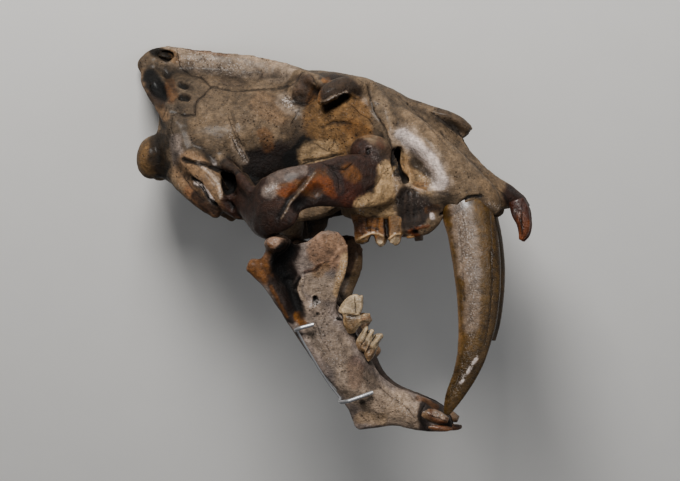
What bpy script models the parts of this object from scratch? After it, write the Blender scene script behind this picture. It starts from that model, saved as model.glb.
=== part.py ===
"""Skull of a sabre-toothed cat (Smilodon), jaws wide open, lying on its left side.

Every bone and tooth is drawn in skull coordinates, in millimetres: X runs forward from the
back of the skull, Y to the animal's left and Z up, with the jaw joint near Z = 0. The whole
skull is then turned and set down on its left cheekbone, the way a loose skull lies on a table.
"""

import math

import bmesh
import bpy
import numpy as np
from mathutils import Euler, Matrix, Vector

MM = 0.001
RIGHT, LEFT = -1, 1

# Turn, in degrees, and shift that lay the skull down on its left cheek arch, the left corner of
# its brow and the left of the crest at the back of its head
REST_TURN = (-127.58, -6.941, 0)
REST_SHIFT = (-149.96, 1.26, 88.97)

# Gaps between neighbouring pieces
SOCKET_GAP = 0.45
MIDLINE_GAP = 0.4
JOINT_CLEARANCE = 0.8

# Colour, roughness and metallic value of each finish
FINISHES = {
    "skull_bone": ((0.36, 0.27, 0.17), 0.6, 0.0),
    "jaw_bone": ((0.40, 0.31, 0.22), 0.6, 0.0),
    "wire_steel": ((0.50, 0.50, 0.50), 0.35, 1.0),
    "sabre_enamel": ((0.42, 0.26, 0.10), 0.3, 0.0),
    "front_enamel": ((0.38, 0.19, 0.10), 0.35, 0.0),
    "upper_cheek_enamel": ((0.45, 0.30, 0.14), 0.3, 0.0),
    "lower_cheek_enamel": ((0.56, 0.48, 0.34), 0.35, 0.0),
}

# Size of the voxels that fuse each bone or tooth, and the triangles that it keeps
BONE_VOXEL = 2.2
TOOTH_VOXEL = 0.9
CRANIUM_FACES = 3800
DENTARY_FACES = 760
JAW_VOXEL = 1.6
BLADE_FACES = 110
WIRE_VOXEL = 0.5
WIRE_FACES = 260

# Central block of the cranium: at each x, half of the outline from the top midline round to the
# bottom midline, as (y, z)
BRAINCASE_AND_SNOUT = [
    (17, [(0, 118), (13, 116), (22, 104), (26, 86), (27, 70), (24, 56), (13, 49), (0, 49)]),
    (30, [(0, 128), (9, 124), (22, 114), (35, 94), (42, 72), (37, 53), (20, 42), (0, 42)]),
    (55, [(0, 129), (8, 124), (24, 114), (40, 94), (46, 73), (39, 51), (22, 38), (0, 38)]),
    (85, [(0, 127), (8, 121), (23, 111), (38, 92), (43, 73), (37, 52), (22, 38), (0, 37)]),
    (110, [(0, 127), (9, 121), (21, 110), (32, 91), (34, 73), (29, 55), (18, 42), (0, 40)]),
    (128, [(0, 128), (14, 124), (24, 111), (28, 92), (27, 75), (23, 57), (16, 44), (0, 43)]),
    (145, [(0, 127), (24, 123), (34, 111), (33, 95), (30, 78), (26, 60), (18, 42), (0, 42)]),
    (160, [(0, 124), (26, 121), (37, 109), (37, 94), (34, 78), (31, 58), (22, 38), (0, 40)]),
    (178, [(0, 119), (22, 117), (36, 107), (39, 93), (38, 76), (36, 54), (34, 32), (0, 38)]),
    (196, [(0, 111), (18, 109), (32, 98), (41, 82), (43, 62), (42, 42), (35, 24), (0, 35)]),
    (215, [(0, 99), (14, 98), (27, 89), (39, 73), (43, 57), (42, 40), (35, 22), (0, 33)]),
    (235, [(0, 87), (11, 87), (20, 79), (31, 68), (39, 54), (40, 40), (32, 23), (0, 31)]),
    (252, [(0, 66), (11, 67), (18, 63), (27, 55), (34, 44), (33, 32), (27, 22), (0, 29)]),
    (266, [(0, 50), (9, 51), (16, 49), (22, 44), (26, 38), (26, 28), (20, 20), (0, 27)]),
    (280, [(0, 41), (8, 41), (13, 39), (18, 36), (20, 32), (18, 27), (13, 24), (0, 26)]),
    (292, [(0, 31), (7, 31), (11, 30), (14, 28), (15, 26), (14, 24), (10, 22), (0, 22)]),
]

# Limbs of bone are lists of (x, y out from the midline, z, half width, half height)
SAGITTAL_CREST = [
    (1, 0, 128, 5, 5), (6, 0, 132, 5.5, 10), (18, 0, 136, 5, 12), (45, 0, 133, 3.6, 12),
    (82, 0, 129, 3.6, 12), (108, 0, 124, 5, 11), (124, 0, 120, 9, 9),
]
NUCHAL_CREST = [
    (9, 0, 124, 6, 9), (12, 12, 119, 7, 9), (19, 23, 109, 8, 9), (28, 32, 96, 8, 9), (37, 38, 81, 7, 9),
    (43, 42, 66, 6, 9), (48, 45, 54, 6, 8),
]
MASTOID = [(46, 43, 60, 9, 9), (58, 47, 46, 10, 9), (70, 49, 32, 9.5, 8.5), (80, 49, 21, 6, 6), (85, 48, 15, 3, 3)]
PAROCCIPITAL = [(32, 32, 52, 9, 9), (44, 39, 39, 8.5, 8.5), (57, 42, 27, 8, 7), (68, 43, 18, 5.5, 5)]
CONDYLE_NECK = [(14, 19, 61, 10, 13), (28, 20, 58, 12, 13), (40, 20, 54, 12, 12)]
TEMPORAL_LINE = [(110, 2, 125, 5, 6), (124, 14, 122, 5, 6), (136, 28, 118, 6, 5), (146, 37, 113, 6, 5)]
FRONTAL_BOSS = [(118, 17, 109, 8, 8), (127, 20, 111, 9, 9), (136, 23, 110, 7, 7)]
POSTORBITAL = [
    (178, 22, 112, 9, 7), (166, 32, 113, 11, 8), (155, 41, 111, 9.5, 7.5), (147, 46, 106, 7, 6),
    (143, 48, 101, 4, 4), (141, 48, 98, 2, 2),
]
ORBIT_RIM = [
    (180, 28, 106, 7, 7), (188, 33, 96, 7, 7), (193, 37, 82, 7, 7), (195, 41, 68, 7, 7), (190, 47, 60, 8, 8),
]
CHEEK_ROOT_RIDGE = [(62, 39, 62, 5, 6), (75, 46, 53, 4, 5), (86, 60, 43, 4, 5), (97, 78, 32, 4, 4)]
CHEEK_ARCH = [
    (80, 40, 42, 9, 11), (91, 58, 27, 9, 12), (102, 76, 19.5, 7.5, 18.5), (108, 85, 22, 7.5, 21),
    (116, 90, 25.5, 7.5, 22.5), (123, 92, 32, 6.5, 18), (134, 91, 36, 5.5, 16.5), (149, 87, 38.5, 5.5, 17),
    (164, 79, 40, 6, 20), (177, 69, 41, 8, 20), (191, 56, 43, 10, 18), (204, 44, 46, 9, 15),
]
JAW_SOCKET_BAR = [(104, 30, 38, 16, 11), (106, 48, 24, 13, 13), (107, 66, 13, 12, 13), (107, 84, 11, 10, 12)]
CHEEK_TOOTH_BONE = [
    (158, 43, 30, 5, 13), (170, 44, 29, 8, 16), (186, 45, 29, 9, 16), (204, 43, 34, 9, 19),
    (220, 40, 35, 9, 17), (236, 37, 36, 8, 11),
]
SABRE_ROOT = [
    (253, 35, 28, 10, 18), (246, 36, 39, 12, 17), (235, 38.5, 53, 12.5, 15), (222, 39, 67, 11.5, 13),
    (208, 35, 81, 9, 11), (196, 29, 92, 7, 8),
]
SABRE_FRONT_RIM = [(258, 37, 40, 7, 8), (264, 36, 32, 7, 9), (268, 33, 25, 6, 8), (271, 29, 20, 4, 5)]
NASAL = [
    (190, 8, 106, 8, 5), (210, 9, 99, 9, 5), (226, 10, 94, 9, 4.5), (240, 10.5, 90, 8.5, 4), (251, 10, 83, 7, 3.5),
]
PTERYGOID = [(156, 18, 36, 3, 9), (138, 17, 29, 2.6, 12), (122, 16, 24, 2.4, 11), (110, 15, 15, 2, 4)]
ROCK_LUMP = [
    (200, 41, 16, 5, 11), (206, 41, 14, 7, 12), (214, 40, 13, 8, 12), (222, 39, 18, 7, 11), (229, 37, 24, 5, 8),
]
SIDE_BONES = [
    MASTOID, PAROCCIPITAL, CONDYLE_NECK, TEMPORAL_LINE, FRONTAL_BOSS, POSTORBITAL, CHEEK_ROOT_RIDGE, CHEEK_ARCH,
    JAW_SOCKET_BAR, CHEEK_TOOTH_BONE, SABRE_ROOT, SABRE_FRONT_RIM, NASAL, PTERYGOID,
]

# Rounded knobs on each side, as centre, radii and turn: the condyle, the boss in front of the eye
# and the ear bulb
SIDE_KNOBS = [
    ((12.5, 20, 62), (11.5, 14, 16.5), (0, 0.1, 0)),
    ((180, 52, 63), (16, 14, 13), (0, 0, 0)),
    ((84, 31, 29), (21, 13, 15), (0, 0.15, -0.2)),
]

# Hollows of the cranium, drawn the same way
NOSE_HOLLOW = [
    (304, 0, 60, 9, 18), (284, 0, 58, 11, 18), (264, 0, 60, 14, 19), (244, 0, 62, 15.5, 20),
    (220, 0, 66, 14, 18), (196, 0, 68, 11, 15), (176, 0, 68, 6, 8),
]
SPINE_HOLLOW = [(-8, 0, 70, 12, 10), (20, 0, 72, 11, 9.5), (44, 0, 74, 9, 8)]
THROAT_HOLLOW = [(118, 0, 30, 10, 12), (140, 0, 38, 11, 12), (160, 0, 46, 10, 8), (176, 0, 50, 6, 5)]
FACE_HOLLOW = [(211, 62, 51, 6, 13), (203, 49, 54, 6.5, 13.5), (196, 39, 57, 6, 11), (186, 31, 60, 4, 8)]
EAR_HOLLOW = [(76, 60, 40, 7, 8), (76, 48, 42, 6, 7), (78, 38, 44, 4, 5)]
CREST_HOLLOW = [(21, 14, 139, 6, 5), (21, 6, 140, 5.5, 4.5), (21, 1.5, 140, 3, 3)]

# Soft dents pressed into the cranium: centre, reach and push, all as (x, y out, z)
DENTS = [
    ((18, 25, 112), (8.5, 16, 18), (1, -8, 0)),
    ((20, 10, 133), (12, 10, 9), (0, -2.5, 0)),
    ((92, 42, 62), (26, 22, 22), (0, -4, 0)),
    ((213, 47, 50), (17, 18, 24), (-1, -6, 0)),
    ((228, 0, 32), (60, 22, 16), (0, 0, 4)),
    ((26, 20, 88), (14, 16, 20), (3, 0, 0)),
    ((125, 92, 22), (20, 16, 14), (0, -1.5, 0)),
]

# Lower jaw as it hangs open. Slabs are outlines of (x, z) with a lens-shaped edge: y is that of
# the middle of the slab, given at three places as (x, z, y)
RAMUS = [
    (112, -8), (124, -4), (133, -3), (140, 1.5), (144, 5), (150, 6.5), (157, 5), (162, -1), (164.5, -8),
    (163, -15), (159, -24), (155, -33), (152, -42), (153, -50), (158, -62), (164, -72), (168, -80),
    (173, -91), (166, -104), (150, -98), (135, -82), (121, -61), (110, -42), (106, -28), (110, -16),
]
RAMUS_PLANE = [(112, -8, 68), (157, 0, 59), (158, -80, 38)]
CHIN = [
    (152, -112), (161, -127), (165, -139), (168, -141), (194, -138), (213, -142), (228, -143), (238, -141),
    (236, -133), (222, -123), (198, -112), (182, -103), (168, -98),
]
CHIN_PLANE = [(152, -112, 29), (238, -132, 8), (166, -140, 19)]
JAW_BODY = [
    (232, 6, -135, 4, 5), (224, 8, -130, 6.5, 9), (208, 13, -126, 9, 12), (190, 18, -120, 9, 13),
    (175, 25, -109, 8.5, 14), (163, 32, -93, 8, 17), (151, 38, -73, 8, 17), (142, 43, -54, 6.5, 16),
    (139, 47, -38, 5, 12),
]
CHIN_JOIN = [(182, 6, -122, 6, 8), (200, 5, -126, 8, 12), (218, 4, -130, 8, 10), (233, 3, -136, 6, 6)]
JAW_BACK_RIDGE = [
    (92, 70, -19, 5, 5), (99, 69, -22, 5.5, 7), (107, 66, -30, 5, 7), (115, 61, -44, 4.8, 6), (123, 54, -59, 5, 5),
    (133, 47, -75, 5, 5), (144, 40, -92, 5, 5), (157, 31, -108, 5, 5), (166, 25, -118, 5, 6),
]
JAW_CONDYLE = [(115, 52, -3, 6, 5), (114, 62, -4, 9, 6.5), (114, 76, -4, 9.5, 6.5), (115, 89, -4, 6.5, 4.5)]
JAW_NECK = [(115, 72, -5, 8, 7), (109, 69, -13, 6, 5.5), (105, 68, -22, 5.5, 6)]
CORONOID_RIDGE = [
    (152, 56, 2, 3.5, 5), (158, 56, -7, 3.5, 6), (157, 54, -22, 3.5, 6), (151, 50, -38, 4, 6), (148, 46, -52, 4, 6),
]
JAW_LIP = [(139, 57, -22, 3, 5), (136, 54, -34, 3, 6.5), (135, 51, -46, 3, 6.5), (138, 47, -60, 3, 6)]
JAW_DENTS = [((121, 66, -24), (12, 14, 26), (0, -3.5, 0)), ((124, 60, -44), (6, 12, 22), (0, -3, 0))]
RAMUS_THICKNESS = 8
CHIN_THICKNESS = 9

# Block that trims a chin to its flat inner face: its middle and its size
CHIN_TRIM_MIDDLE = (200, -120)
CHIN_TRIM_SIZE = (120, 40, 80)

# Teeth
UPPER_CANINE = [
    (247, 35.5, 32, 7.5, 15), (252, 36, 20, 9.5, 18.5), (256, 36, 7, 9.3, 18.5), (258.5, 36, -7, 9, 18.3),
    (260, 36, -20, 8.6, 17.8), (261, 36, -34, 8, 16.8), (261, 35.5, -47, 7.5, 15.6), (260, 35, -61, 6.8, 14.3),
    (258, 34.5, -74, 6, 12.6), (255, 34, -87, 5.2, 10.8), (249.5, 33.5, -101, 4.3, 8.8), (243, 33, -114, 3.4, 7),
    (239.5, 32.5, -122, 2.6, 5), (236.5, 32, -129, 1.2, 2.2),
]
BROKEN_CANINE_ROWS = 9
UPPER_CARNASSIAL = [
    (167, 22), (167, 10), (168, 1), (171, -4), (173.5, -4), (176.5, -2), (179.5, -2.5), (184, -6.5), (188, -5),
    (190.5, -1), (193.5, -3), (198, -5), (202, -2), (203, 5), (203, 22),
]
UPPER_CARNASSIAL_PLANE = [(168, 0, 43), (203, 0, 41), (185, 20, 44)]
UPPER_STUMP = [(207, 40, 14, 4.2, 4), (208, 40, 5, 4, 3.8), (208.5, 40, 0.5, 3.4, 3.2)]
UPPER_INCISORS = {
    "1": [(286, 4, 27, 2.6, 3), (289, 4, 21, 2.7, 3.4), (291, 4, 15, 2.3, 3), (291, 4, 9, 1.4, 1.8)],
    "2": [(285, 10.7, 27, 2.9, 3.6), (288, 10.7, 20, 3, 4), (290.5, 10.8, 13, 2.6, 3.4), (290, 10.8, 6, 1.4, 1.8)],
    "3": [
        (285, 18, 29, 3.6, 6), (287.5, 18.6, 21, 4.1, 7), (290, 19, 12, 3.7, 5.4), (290, 19, 5, 2.5, 3.8),
        (288, 19, -0.5, 1.1, 1.5),
    ],
}
LOWER_CARNASSIAL = [
    (155, -62), (156.5, -54), (159, -48.5), (162, -44.5), (166, -41.5), (170.5, -40), (174.5, -41.5), (174.5, -50),
    (173, -57), (171, -62), (167.5, -66.5), (163, -68.5), (159, -66.5),
]
LOWER_CARNASSIAL_PLANE = [(152, -62, 40), (180, -56, 41), (168, -40, 42)]
LOWER_PREMOLAR = [
    (165, -78), (168, -73), (171.5, -69), (174, -66.5), (175.5, -69), (178.5, -67.5), (181, -68.5), (182, -71.5),
    (185.5, -70), (187.5, -72), (185.5, -77), (180.5, -83.5), (175, -90), (171, -88), (167, -83),
]
LOWER_PREMOLAR_PLANE = [(165, -80, 34), (188, -70, 36), (174, -92, 33)]
# The left side's cheek teeth are worn or broken down to low stumps
BROKEN_CARNASSIAL = [
    (157, -66), (159, -60), (162, -55.5), (166, -54), (169, -56), (172, -59.5), (170, -64), (166, -70), (160, -72),
]
BROKEN_PREMOLAR = [(165, -78), (169, -75), (174, -77), (179, -81), (179, -85), (175, -89), (170, -90), (166, -86)]
BROKEN_UPPER_CARNASSIAL = [
    (167.5, 20), (168, 10), (171, 5), (177, 4), (183, 3), (188, 4.5), (193, 3.5), (198, 4), (202, 7), (203, 20),
]
LOWER_CANINE = [
    (211, 12.5, -127, 5, 5.5), (220, 13.5, -129.5, 5.2, 6), (228, 13.5, -132, 4.5, 5), (234, 13, -134, 2.2, 2.6),
]
LONGER_CANINE = [
    (214, 12.5, -126, 5, 5.5), (224, 13, -128.5, 5.5, 6), (233, 12.5, -131.5, 5, 5.5), (240, 12, -134, 2.6, 3),
]
LOWER_INCISORS = {
    "1": [(226, 5.5, -138, 2, 2.6), (237, 5, -139.5, 2.4, 3), (243, 4.6, -139, 1.3, 1.7)],
    "2": [(219, 12, -138.5, 2, 2.6), (230, 11.5, -140, 2.4, 3), (237, 11, -140, 1.3, 1.7)],
}
UPPER_BLADE_THICKNESS = 11
LOWER_BLADE_THICKNESS = 9

# Wire that holds the right jaw: the (x, y, z) that two hooked clips and a strut pass through
CLIP_RADIUS = 1.5
STRUT_RADIUS = 0.9
UPPER_CLIP = [(130, -48, -63.5), (126, -54, -66.5), (125.5, -60, -66.8), (130, -62, -65), (139, -60.5, -62.5)]
LOWER_CLIP = [
    (160, -20, -111), (155, -27, -116), (156, -35, -120), (162, -40, -119), (172, -40, -115.5), (180, -37, -112.5),
]
STRUT = [(126.5, -57, -67), (132, -52, -78), (141, -43, -95), (148, -35, -107), (156, -31, -117.5)]


def smooth_rows(rows, steps):
    """Rows of numbers joined by a Catmull-Rom curve, with `steps` pieces to each span."""
    rows = np.array(rows, float)
    ends = np.concatenate([[2 * rows[0] - rows[1]], rows, [2 * rows[-1] - rows[-2]]])
    out = []
    for a, b, c, d in zip(ends[:-3], ends[1:-2], ends[2:-1], ends[3:]):
        for t in np.arange(steps) / steps:
            out.append(b + 0.5 * t * (c - a + t * (2 * a - 5 * b + 4 * c - d + t * (3 * (b - c) + d - a))))
    return np.array(out + [rows[-1]])


def stitch(bm, rings):
    """Joins rings of vertices into one closed skin with a flat face at each end."""
    for one, two in zip(rings, rings[1:]):
        for i in range(len(one)):
            j = (i + 1) % len(one)
            bm.faces.new((one[i], one[j], two[j], two[i]))
    bm.faces.new(list(reversed(rings[0])))
    bm.faces.new(rings[-1])


def limb(bm, stations, side=1, up=(0, 0, 1), sides=20, steps=4, lens=0.0):
    """A closed limb along its stations, on the right or left side. lens pinches its two thin edges."""
    rows = smooth_rows(stations, steps)
    rows[:, 1] *= side
    half = np.maximum(rows[:, 3:5], 0.3)
    rings = []
    for centre, along, (wide, high) in zip(rows[:, :3], np.gradient(rows[:, :3], axis=0), half):
        across = np.cross(along, up)
        across /= np.linalg.norm(across)
        rise = np.cross(across, along)
        rise /= np.linalg.norm(rise)
        ring = []
        for angle in np.arange(sides) * 2 * math.pi / sides:
            c, s = math.cos(angle), math.sin(angle)
            ring.append(bm.verts.new(centre + wide * c * abs(c) ** lens * across + high * s * rise))
        rings.append(ring)
    stitch(bm, rings)


def slab(bm, outline, plane, thick, side=1, edge=0.35, inset=0.8):
    """A plate with an (x, z) outline in a tilted plane, thinner along its rim."""
    spots = np.array([(x, z, 1) for x, z, _ in plane], float)
    tilt = np.linalg.solve(spots, np.array([y for _, _, y in plane], float))
    rim = np.array(outline, float)
    core = rim.mean(axis=0) + (rim - rim.mean(axis=0)) * inset
    rings = []
    for loop, off in ((core, thick / 2), (rim, thick / 2 * edge), (rim, -thick / 2 * edge), (core, -thick / 2)):
        rings.append([bm.verts.new((x, side * (np.dot(tilt, (x, z, 1)) + off), z)) for x, z in loop])
    stitch(bm, rings)


def block(bm, sections, steps=4):
    """A symmetric closed block through half outlines, each at its own x."""
    halves = np.array([[(x, y, z) for y, z in outline] for x, outline in sections], float)
    mirrored = halves[:, -2:0:-1] * (1, -1, 1)
    loops = np.concatenate([halves, mirrored], axis=1)
    count = loops.shape[1]
    lengthwise = smooth_rows(loops.reshape(len(loops), -1), steps).reshape(-1, count, 3)
    rings = []
    for loop in lengthwise:
        wrapped = np.concatenate([loop[-1:], loop, loop[:2]])
        ring = smooth_rows(wrapped, steps)[steps:-steps][:-1]
        rings.append([bm.verts.new(point) for point in ring])
    stitch(bm, rings)


def ball(bm, centre, radii, turn, side):
    """An ellipsoid on the right or left side, with its turn about Z mirrored too."""
    x, y, z = centre
    turned = Euler((turn[0], turn[1], side * turn[2])).to_matrix().to_4x4()
    place = Matrix.Translation((x, side * y, z)) @ turned @ Matrix.Diagonal((*radii, 1))
    bmesh.ops.create_icosphere(bm, subdivisions=3, radius=1, matrix=place)


def mesh_object(name, bm):
    """The bmesh as an object of the scene, in metres."""
    bmesh.ops.recalc_face_normals(bm, faces=bm.faces)
    bmesh.ops.scale(bm, vec=(MM,) * 3, verts=bm.verts)
    mesh = bpy.data.meshes.new(name)
    bm.to_mesh(mesh)
    bm.free()
    made = bpy.data.objects.new(name, mesh)
    bpy.context.scene.collection.objects.link(made)
    return made


def settle_modifiers(made):
    """Applies every modifier of the object to its mesh."""
    bpy.context.view_layer.update()
    graph = bpy.context.evaluated_depsgraph_get()
    mesh = bpy.data.meshes.new_from_object(made.evaluated_get(graph))
    made.modifiers.clear()
    made.data = mesh


def fuse(made, voxel=BONE_VOXEL, rounds=4):
    """Melts overlapping shells into one skin and softens where they meet."""
    remesh = made.modifiers.new("fuse", "REMESH")
    remesh.mode = "VOXEL"
    remesh.voxel_size = voxel * MM
    soften = made.modifiers.new("soften", "SMOOTH")
    soften.factor = 0.5
    soften.iterations = rounds
    settle_modifiers(made)


def cut(made, cutters):
    """Takes closed cutters out of an object."""
    for cutter in cutters:
        hollow = made.modifiers.new("hollow", "BOOLEAN")
        hollow.operation = "DIFFERENCE"
        hollow.solver = "EXACT"
        hollow.object = cutter
    settle_modifiers(made)
    for cutter in cutters:
        bpy.data.objects.remove(cutter)


def press(made, dents, sides=(RIGHT, LEFT)):
    """Pushes soft dents into an object."""
    spots = np.empty(len(made.data.vertices) * 3)
    made.data.vertices.foreach_get("co", spots)
    spots = spots.reshape(-1, 3) / MM
    for side in sides:
        for centre, reach, push in dents:
            flip = np.array((1, side, 1))
            near = 1 - (((spots - flip * centre) / reach) ** 2).sum(axis=1)
            spots += (np.clip(near, 0, 1) ** 2)[:, None] * (flip * push)
    made.data.vertices.foreach_set("co", (spots * MM).ravel())
    made.data.update()


def hollow(stations, side=1, up=(0, 0, 1)):
    bm = bmesh.new()
    limb(bm, stations, side, up)
    return mesh_object("hollow", bm)


def cranium_mass():
    """All the fused bones of the upper skull, before its hollows."""
    bm = bmesh.new()
    block(bm, BRAINCASE_AND_SNOUT)
    limb(bm, SAGITTAL_CREST)
    for side in (RIGHT, LEFT):
        for stations in SIDE_BONES:
            limb(bm, stations, side)
        limb(bm, NUCHAL_CREST, side, up=(1, 0, 0))
        limb(bm, ORBIT_RIM, side, up=(0, 1, 0))
        for centre, radii, turn in SIDE_KNOBS:
            ball(bm, centre, radii, turn, side)
    limb(bm, ROCK_LUMP, RIGHT)
    return mesh_object("cranium", bm)


def thin(made, faces):
    """Lowers an object to about this many triangles."""
    made.data.calc_loop_triangles()
    fewer = made.modifiers.new("fewer", "DECIMATE")
    fewer.ratio = min(1, faces / len(made.data.loop_triangles))
    settle_modifiers(made)


def keep_biggest(made):
    """Drops loose crumbs that a cut leaves behind."""
    bm = bmesh.new()
    bm.from_mesh(made.data)
    left = set(bm.verts)
    islands = []
    while left:
        island = {left.pop()}
        front = list(island)
        while front:
            for edge in front.pop().link_edges:
                for vert in edge.verts:
                    if vert not in island:
                        island.add(vert)
                        front.append(vert)
        left -= island
        islands.append(island)
    islands.sort(key=len)
    bmesh.ops.delete(bm, geom=[vert for island in islands[:-1] for vert in island])
    bm.to_mesh(made.data)
    bm.free()


def grown_copy(made, gap):
    """A copy that stands out by the gap all round, to cut its neighbour with."""
    mesh = made.data.copy()
    bm = bmesh.new()
    bm.from_mesh(mesh)
    bm.normal_update()
    moves = [(vert, vert.normal * gap * MM) for vert in bm.verts]
    for vert, move in moves:
        vert.co += move
    bm.to_mesh(mesh)
    bm.free()
    copy = bpy.data.objects.new("socket", mesh)
    bpy.context.scene.collection.objects.link(copy)
    return copy


def finish(name):
    """A plain material with the part's own colour."""
    colour, roughness, metallic = FINISHES[name]
    material = bpy.data.materials.get(name) or bpy.data.materials.new(name)
    material.use_nodes = True
    shader = material.node_tree.nodes["Principled BSDF"]
    shader.inputs["Base Color"].default_value = (*colour, 1)
    shader.inputs["Roughness"].default_value = roughness
    shader.inputs["Metallic"].default_value = metallic
    return material


def cranium():
    made = cranium_mass()
    fuse(made)
    press(made, DENTS)
    hollows = [hollow(NOSE_HOLLOW), hollow(SPINE_HOLLOW), hollow(THROAT_HOLLOW), hollow(CREST_HOLLOW, RIGHT)]
    for side in (RIGHT, LEFT):
        hollows += [hollow(FACE_HOLLOW, side), hollow(EAR_HOLLOW, side)]
    cut(made, hollows)
    fuse(made, rounds=2)
    thin(made, CRANIUM_FACES)
    return made


def dentary(side, name):
    """Half of the lower jaw, before its tooth sockets."""
    bm = bmesh.new()
    slab(bm, RAMUS, RAMUS_PLANE, RAMUS_THICKNESS, side)
    slab(bm, CHIN, CHIN_PLANE, CHIN_THICKNESS, side)
    for stations in (JAW_BODY, CHIN_JOIN, JAW_BACK_RIDGE, JAW_CONDYLE):
        limb(bm, stations, side)
    for stations in (JAW_NECK, CORONOID_RIDGE, JAW_LIP):
        limb(bm, stations, side, up=(1, 0, 0))
    made = mesh_object(name, bm)
    fuse(made, JAW_VOXEL)
    press(made, JAW_DENTS, (side,))
    thin(made, DENTARY_FACES)
    cut(made, [midline_wall(side)])
    return made


def midline_wall(side):
    """A block that fills the other half of the chin, so that the two halves meet on a flat face."""
    x, z = CHIN_TRIM_MIDDLE
    y = side * (MIDLINE_GAP - CHIN_TRIM_SIZE[1]) / 2
    bm = bmesh.new()
    bmesh.ops.create_cube(bm, size=1, matrix=Matrix.Translation((x, y, z)) @ Matrix.Diagonal((*CHIN_TRIM_SIZE, 1)))
    return mesh_object("midline", bm)


def upper_canine(side, name):
    """A sabre: whole on the right, snapped off short on the left."""
    bm = bmesh.new()
    rows = UPPER_CANINE if side == RIGHT else UPPER_CANINE[:BROKEN_CANINE_ROWS]
    limb(bm, rows, side, up=(1, 0, 0), sides=14, steps=1, lens=0.25)
    return mesh_object(name, bm)


def blade_tooth(name, outline, plane, thick, side):
    """A shearing cheek tooth cut out along its outline, with softened edges."""
    bm = bmesh.new()
    slab(bm, outline, plane, thick, side, edge=0.5, inset=0.75)
    made = mesh_object(name, bm)
    fuse(made, TOOTH_VOXEL, rounds=3)
    thin(made, BLADE_FACES)
    return made


def peg_tooth(name, stations, side, up=(1, 0, 0)):
    """A simple pointed or stumpy tooth along its stations."""
    bm = bmesh.new()
    limb(bm, stations, side, up=up, sides=8, steps=1)
    return mesh_object(name, bm)


def jaw_wire():
    """The clips and the strut, brazed together as one piece of wire."""
    bm = bmesh.new()
    for path, radius, up in (
        (UPPER_CLIP, CLIP_RADIUS, (0, 0, 1)),
        (LOWER_CLIP, CLIP_RADIUS, (0, 0, 1)),
        (STRUT, STRUT_RADIUS, (0, 1, 0)),
    ):
        limb(bm, [(*point, radius, radius) for point in path], sides=8, steps=2, up=up)
    made = mesh_object("jaw_wire", bm)
    fuse(made, WIRE_VOXEL, rounds=1)
    thin(made, WIRE_FACES)
    made.data.materials.append(finish("wire_steel"))
    return made


def upper_teeth(side, word):
    """Every tooth of one side of the upper jaw."""
    shear = UPPER_CARNASSIAL if side == RIGHT else BROKEN_UPPER_CARNASSIAL
    canine = upper_canine(side, "upper_canine_" + word)
    canine.data.materials.append(finish("sabre_enamel"))
    cheek = [
        blade_tooth("upper_carnassial_" + word, shear, UPPER_CARNASSIAL_PLANE, UPPER_BLADE_THICKNESS, side),
        peg_tooth("upper_premolar_" + word, UPPER_STUMP, side),
    ]
    front = [
        peg_tooth("upper_incisor_" + place + "_" + word, stations, side)
        for place, stations in UPPER_INCISORS.items()
    ]
    for tooth in cheek:
        tooth.data.materials.append(finish("upper_cheek_enamel"))
    for tooth in front:
        tooth.data.materials.append(finish("front_enamel"))
    return [canine] + cheek + front


def lower_teeth(side, word):
    """Every tooth of one side of the lower jaw."""
    whole = side == RIGHT
    cheek = [
        blade_tooth("lower_carnassial_" + word, LOWER_CARNASSIAL if whole else BROKEN_CARNASSIAL,
                    LOWER_CARNASSIAL_PLANE, LOWER_BLADE_THICKNESS, side),
        blade_tooth("lower_premolar_" + word, LOWER_PREMOLAR if whole else BROKEN_PREMOLAR,
                    LOWER_PREMOLAR_PLANE, LOWER_BLADE_THICKNESS, side),
    ]
    stub = LOWER_CANINE if whole else LONGER_CANINE
    front = [peg_tooth("lower_canine_" + word, stub, side, up=(0, 1, 0))]
    for place, stations in LOWER_INCISORS.items():
        front.append(peg_tooth("lower_incisor_" + place + "_" + word, stations, side, up=(0, 1, 0)))
    for tooth in cheek:
        tooth.data.materials.append(finish("lower_cheek_enamel"))
    for tooth in front:
        tooth.data.materials.append(finish("front_enamel"))
    return cheek + front


def main():
    for old in list(bpy.data.objects):
        bpy.data.objects.remove(old)
    skull = cranium()
    in_skull = []
    for side, word in ((RIGHT, "right"), (LEFT, "left")):
        in_skull += upper_teeth(side, word)
        in_jaw = lower_teeth(side, word)
        if side == RIGHT:
            in_jaw.append(jaw_wire())
        jaw = dentary(side, "dentary_" + word)
        cut(jaw, [grown_copy(piece, SOCKET_GAP) for piece in in_jaw])
        keep_biggest(jaw)
        jaw.data.materials.append(finish("jaw_bone"))
        cut(skull, [grown_copy(jaw, JOINT_CLEARANCE)])
    cut(skull, [grown_copy(tooth, SOCKET_GAP) for tooth in in_skull])
    keep_biggest(skull)
    skull.data.materials.append(finish("skull_bone"))
    lay_down()


def lay_down():
    """Hangs every piece on one empty and turns the skull over onto its left side."""
    rest = bpy.data.objects.new("lying_skull", None)
    bpy.context.scene.collection.objects.link(rest)
    for piece in bpy.data.objects:
        if piece.type == "MESH":
            piece.parent = rest
            for face in piece.data.polygons:
                face.use_smooth = True
    rest.rotation_euler = [math.radians(angle) for angle in REST_TURN]
    rest.location = Vector(REST_SHIFT) * MM


main()
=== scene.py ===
"""Looks of the fossil skull of a sabre-toothed cat, which lies on its left side with its jaws open.

Bones and teeth are drawn in skull coordinates, in millimetres: X runs forward from the back of the
skull, Y to the animal's left and Z up, with the jaw joint near Z = 0. Each finished piece is then
turned and laid down in one step, as the solids are. Stains, painted shade and highlights, and relief
are placed by where they are seen in the photograph, in its pixels, and the left side takes the
mirror image of most of them.
"""

import itertools
import math

import bmesh
import bpy
import numpy as np
from bpy.props import FloatProperty, FloatVectorProperty, PointerProperty
from mathutils import Euler, Matrix, Vector


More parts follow.
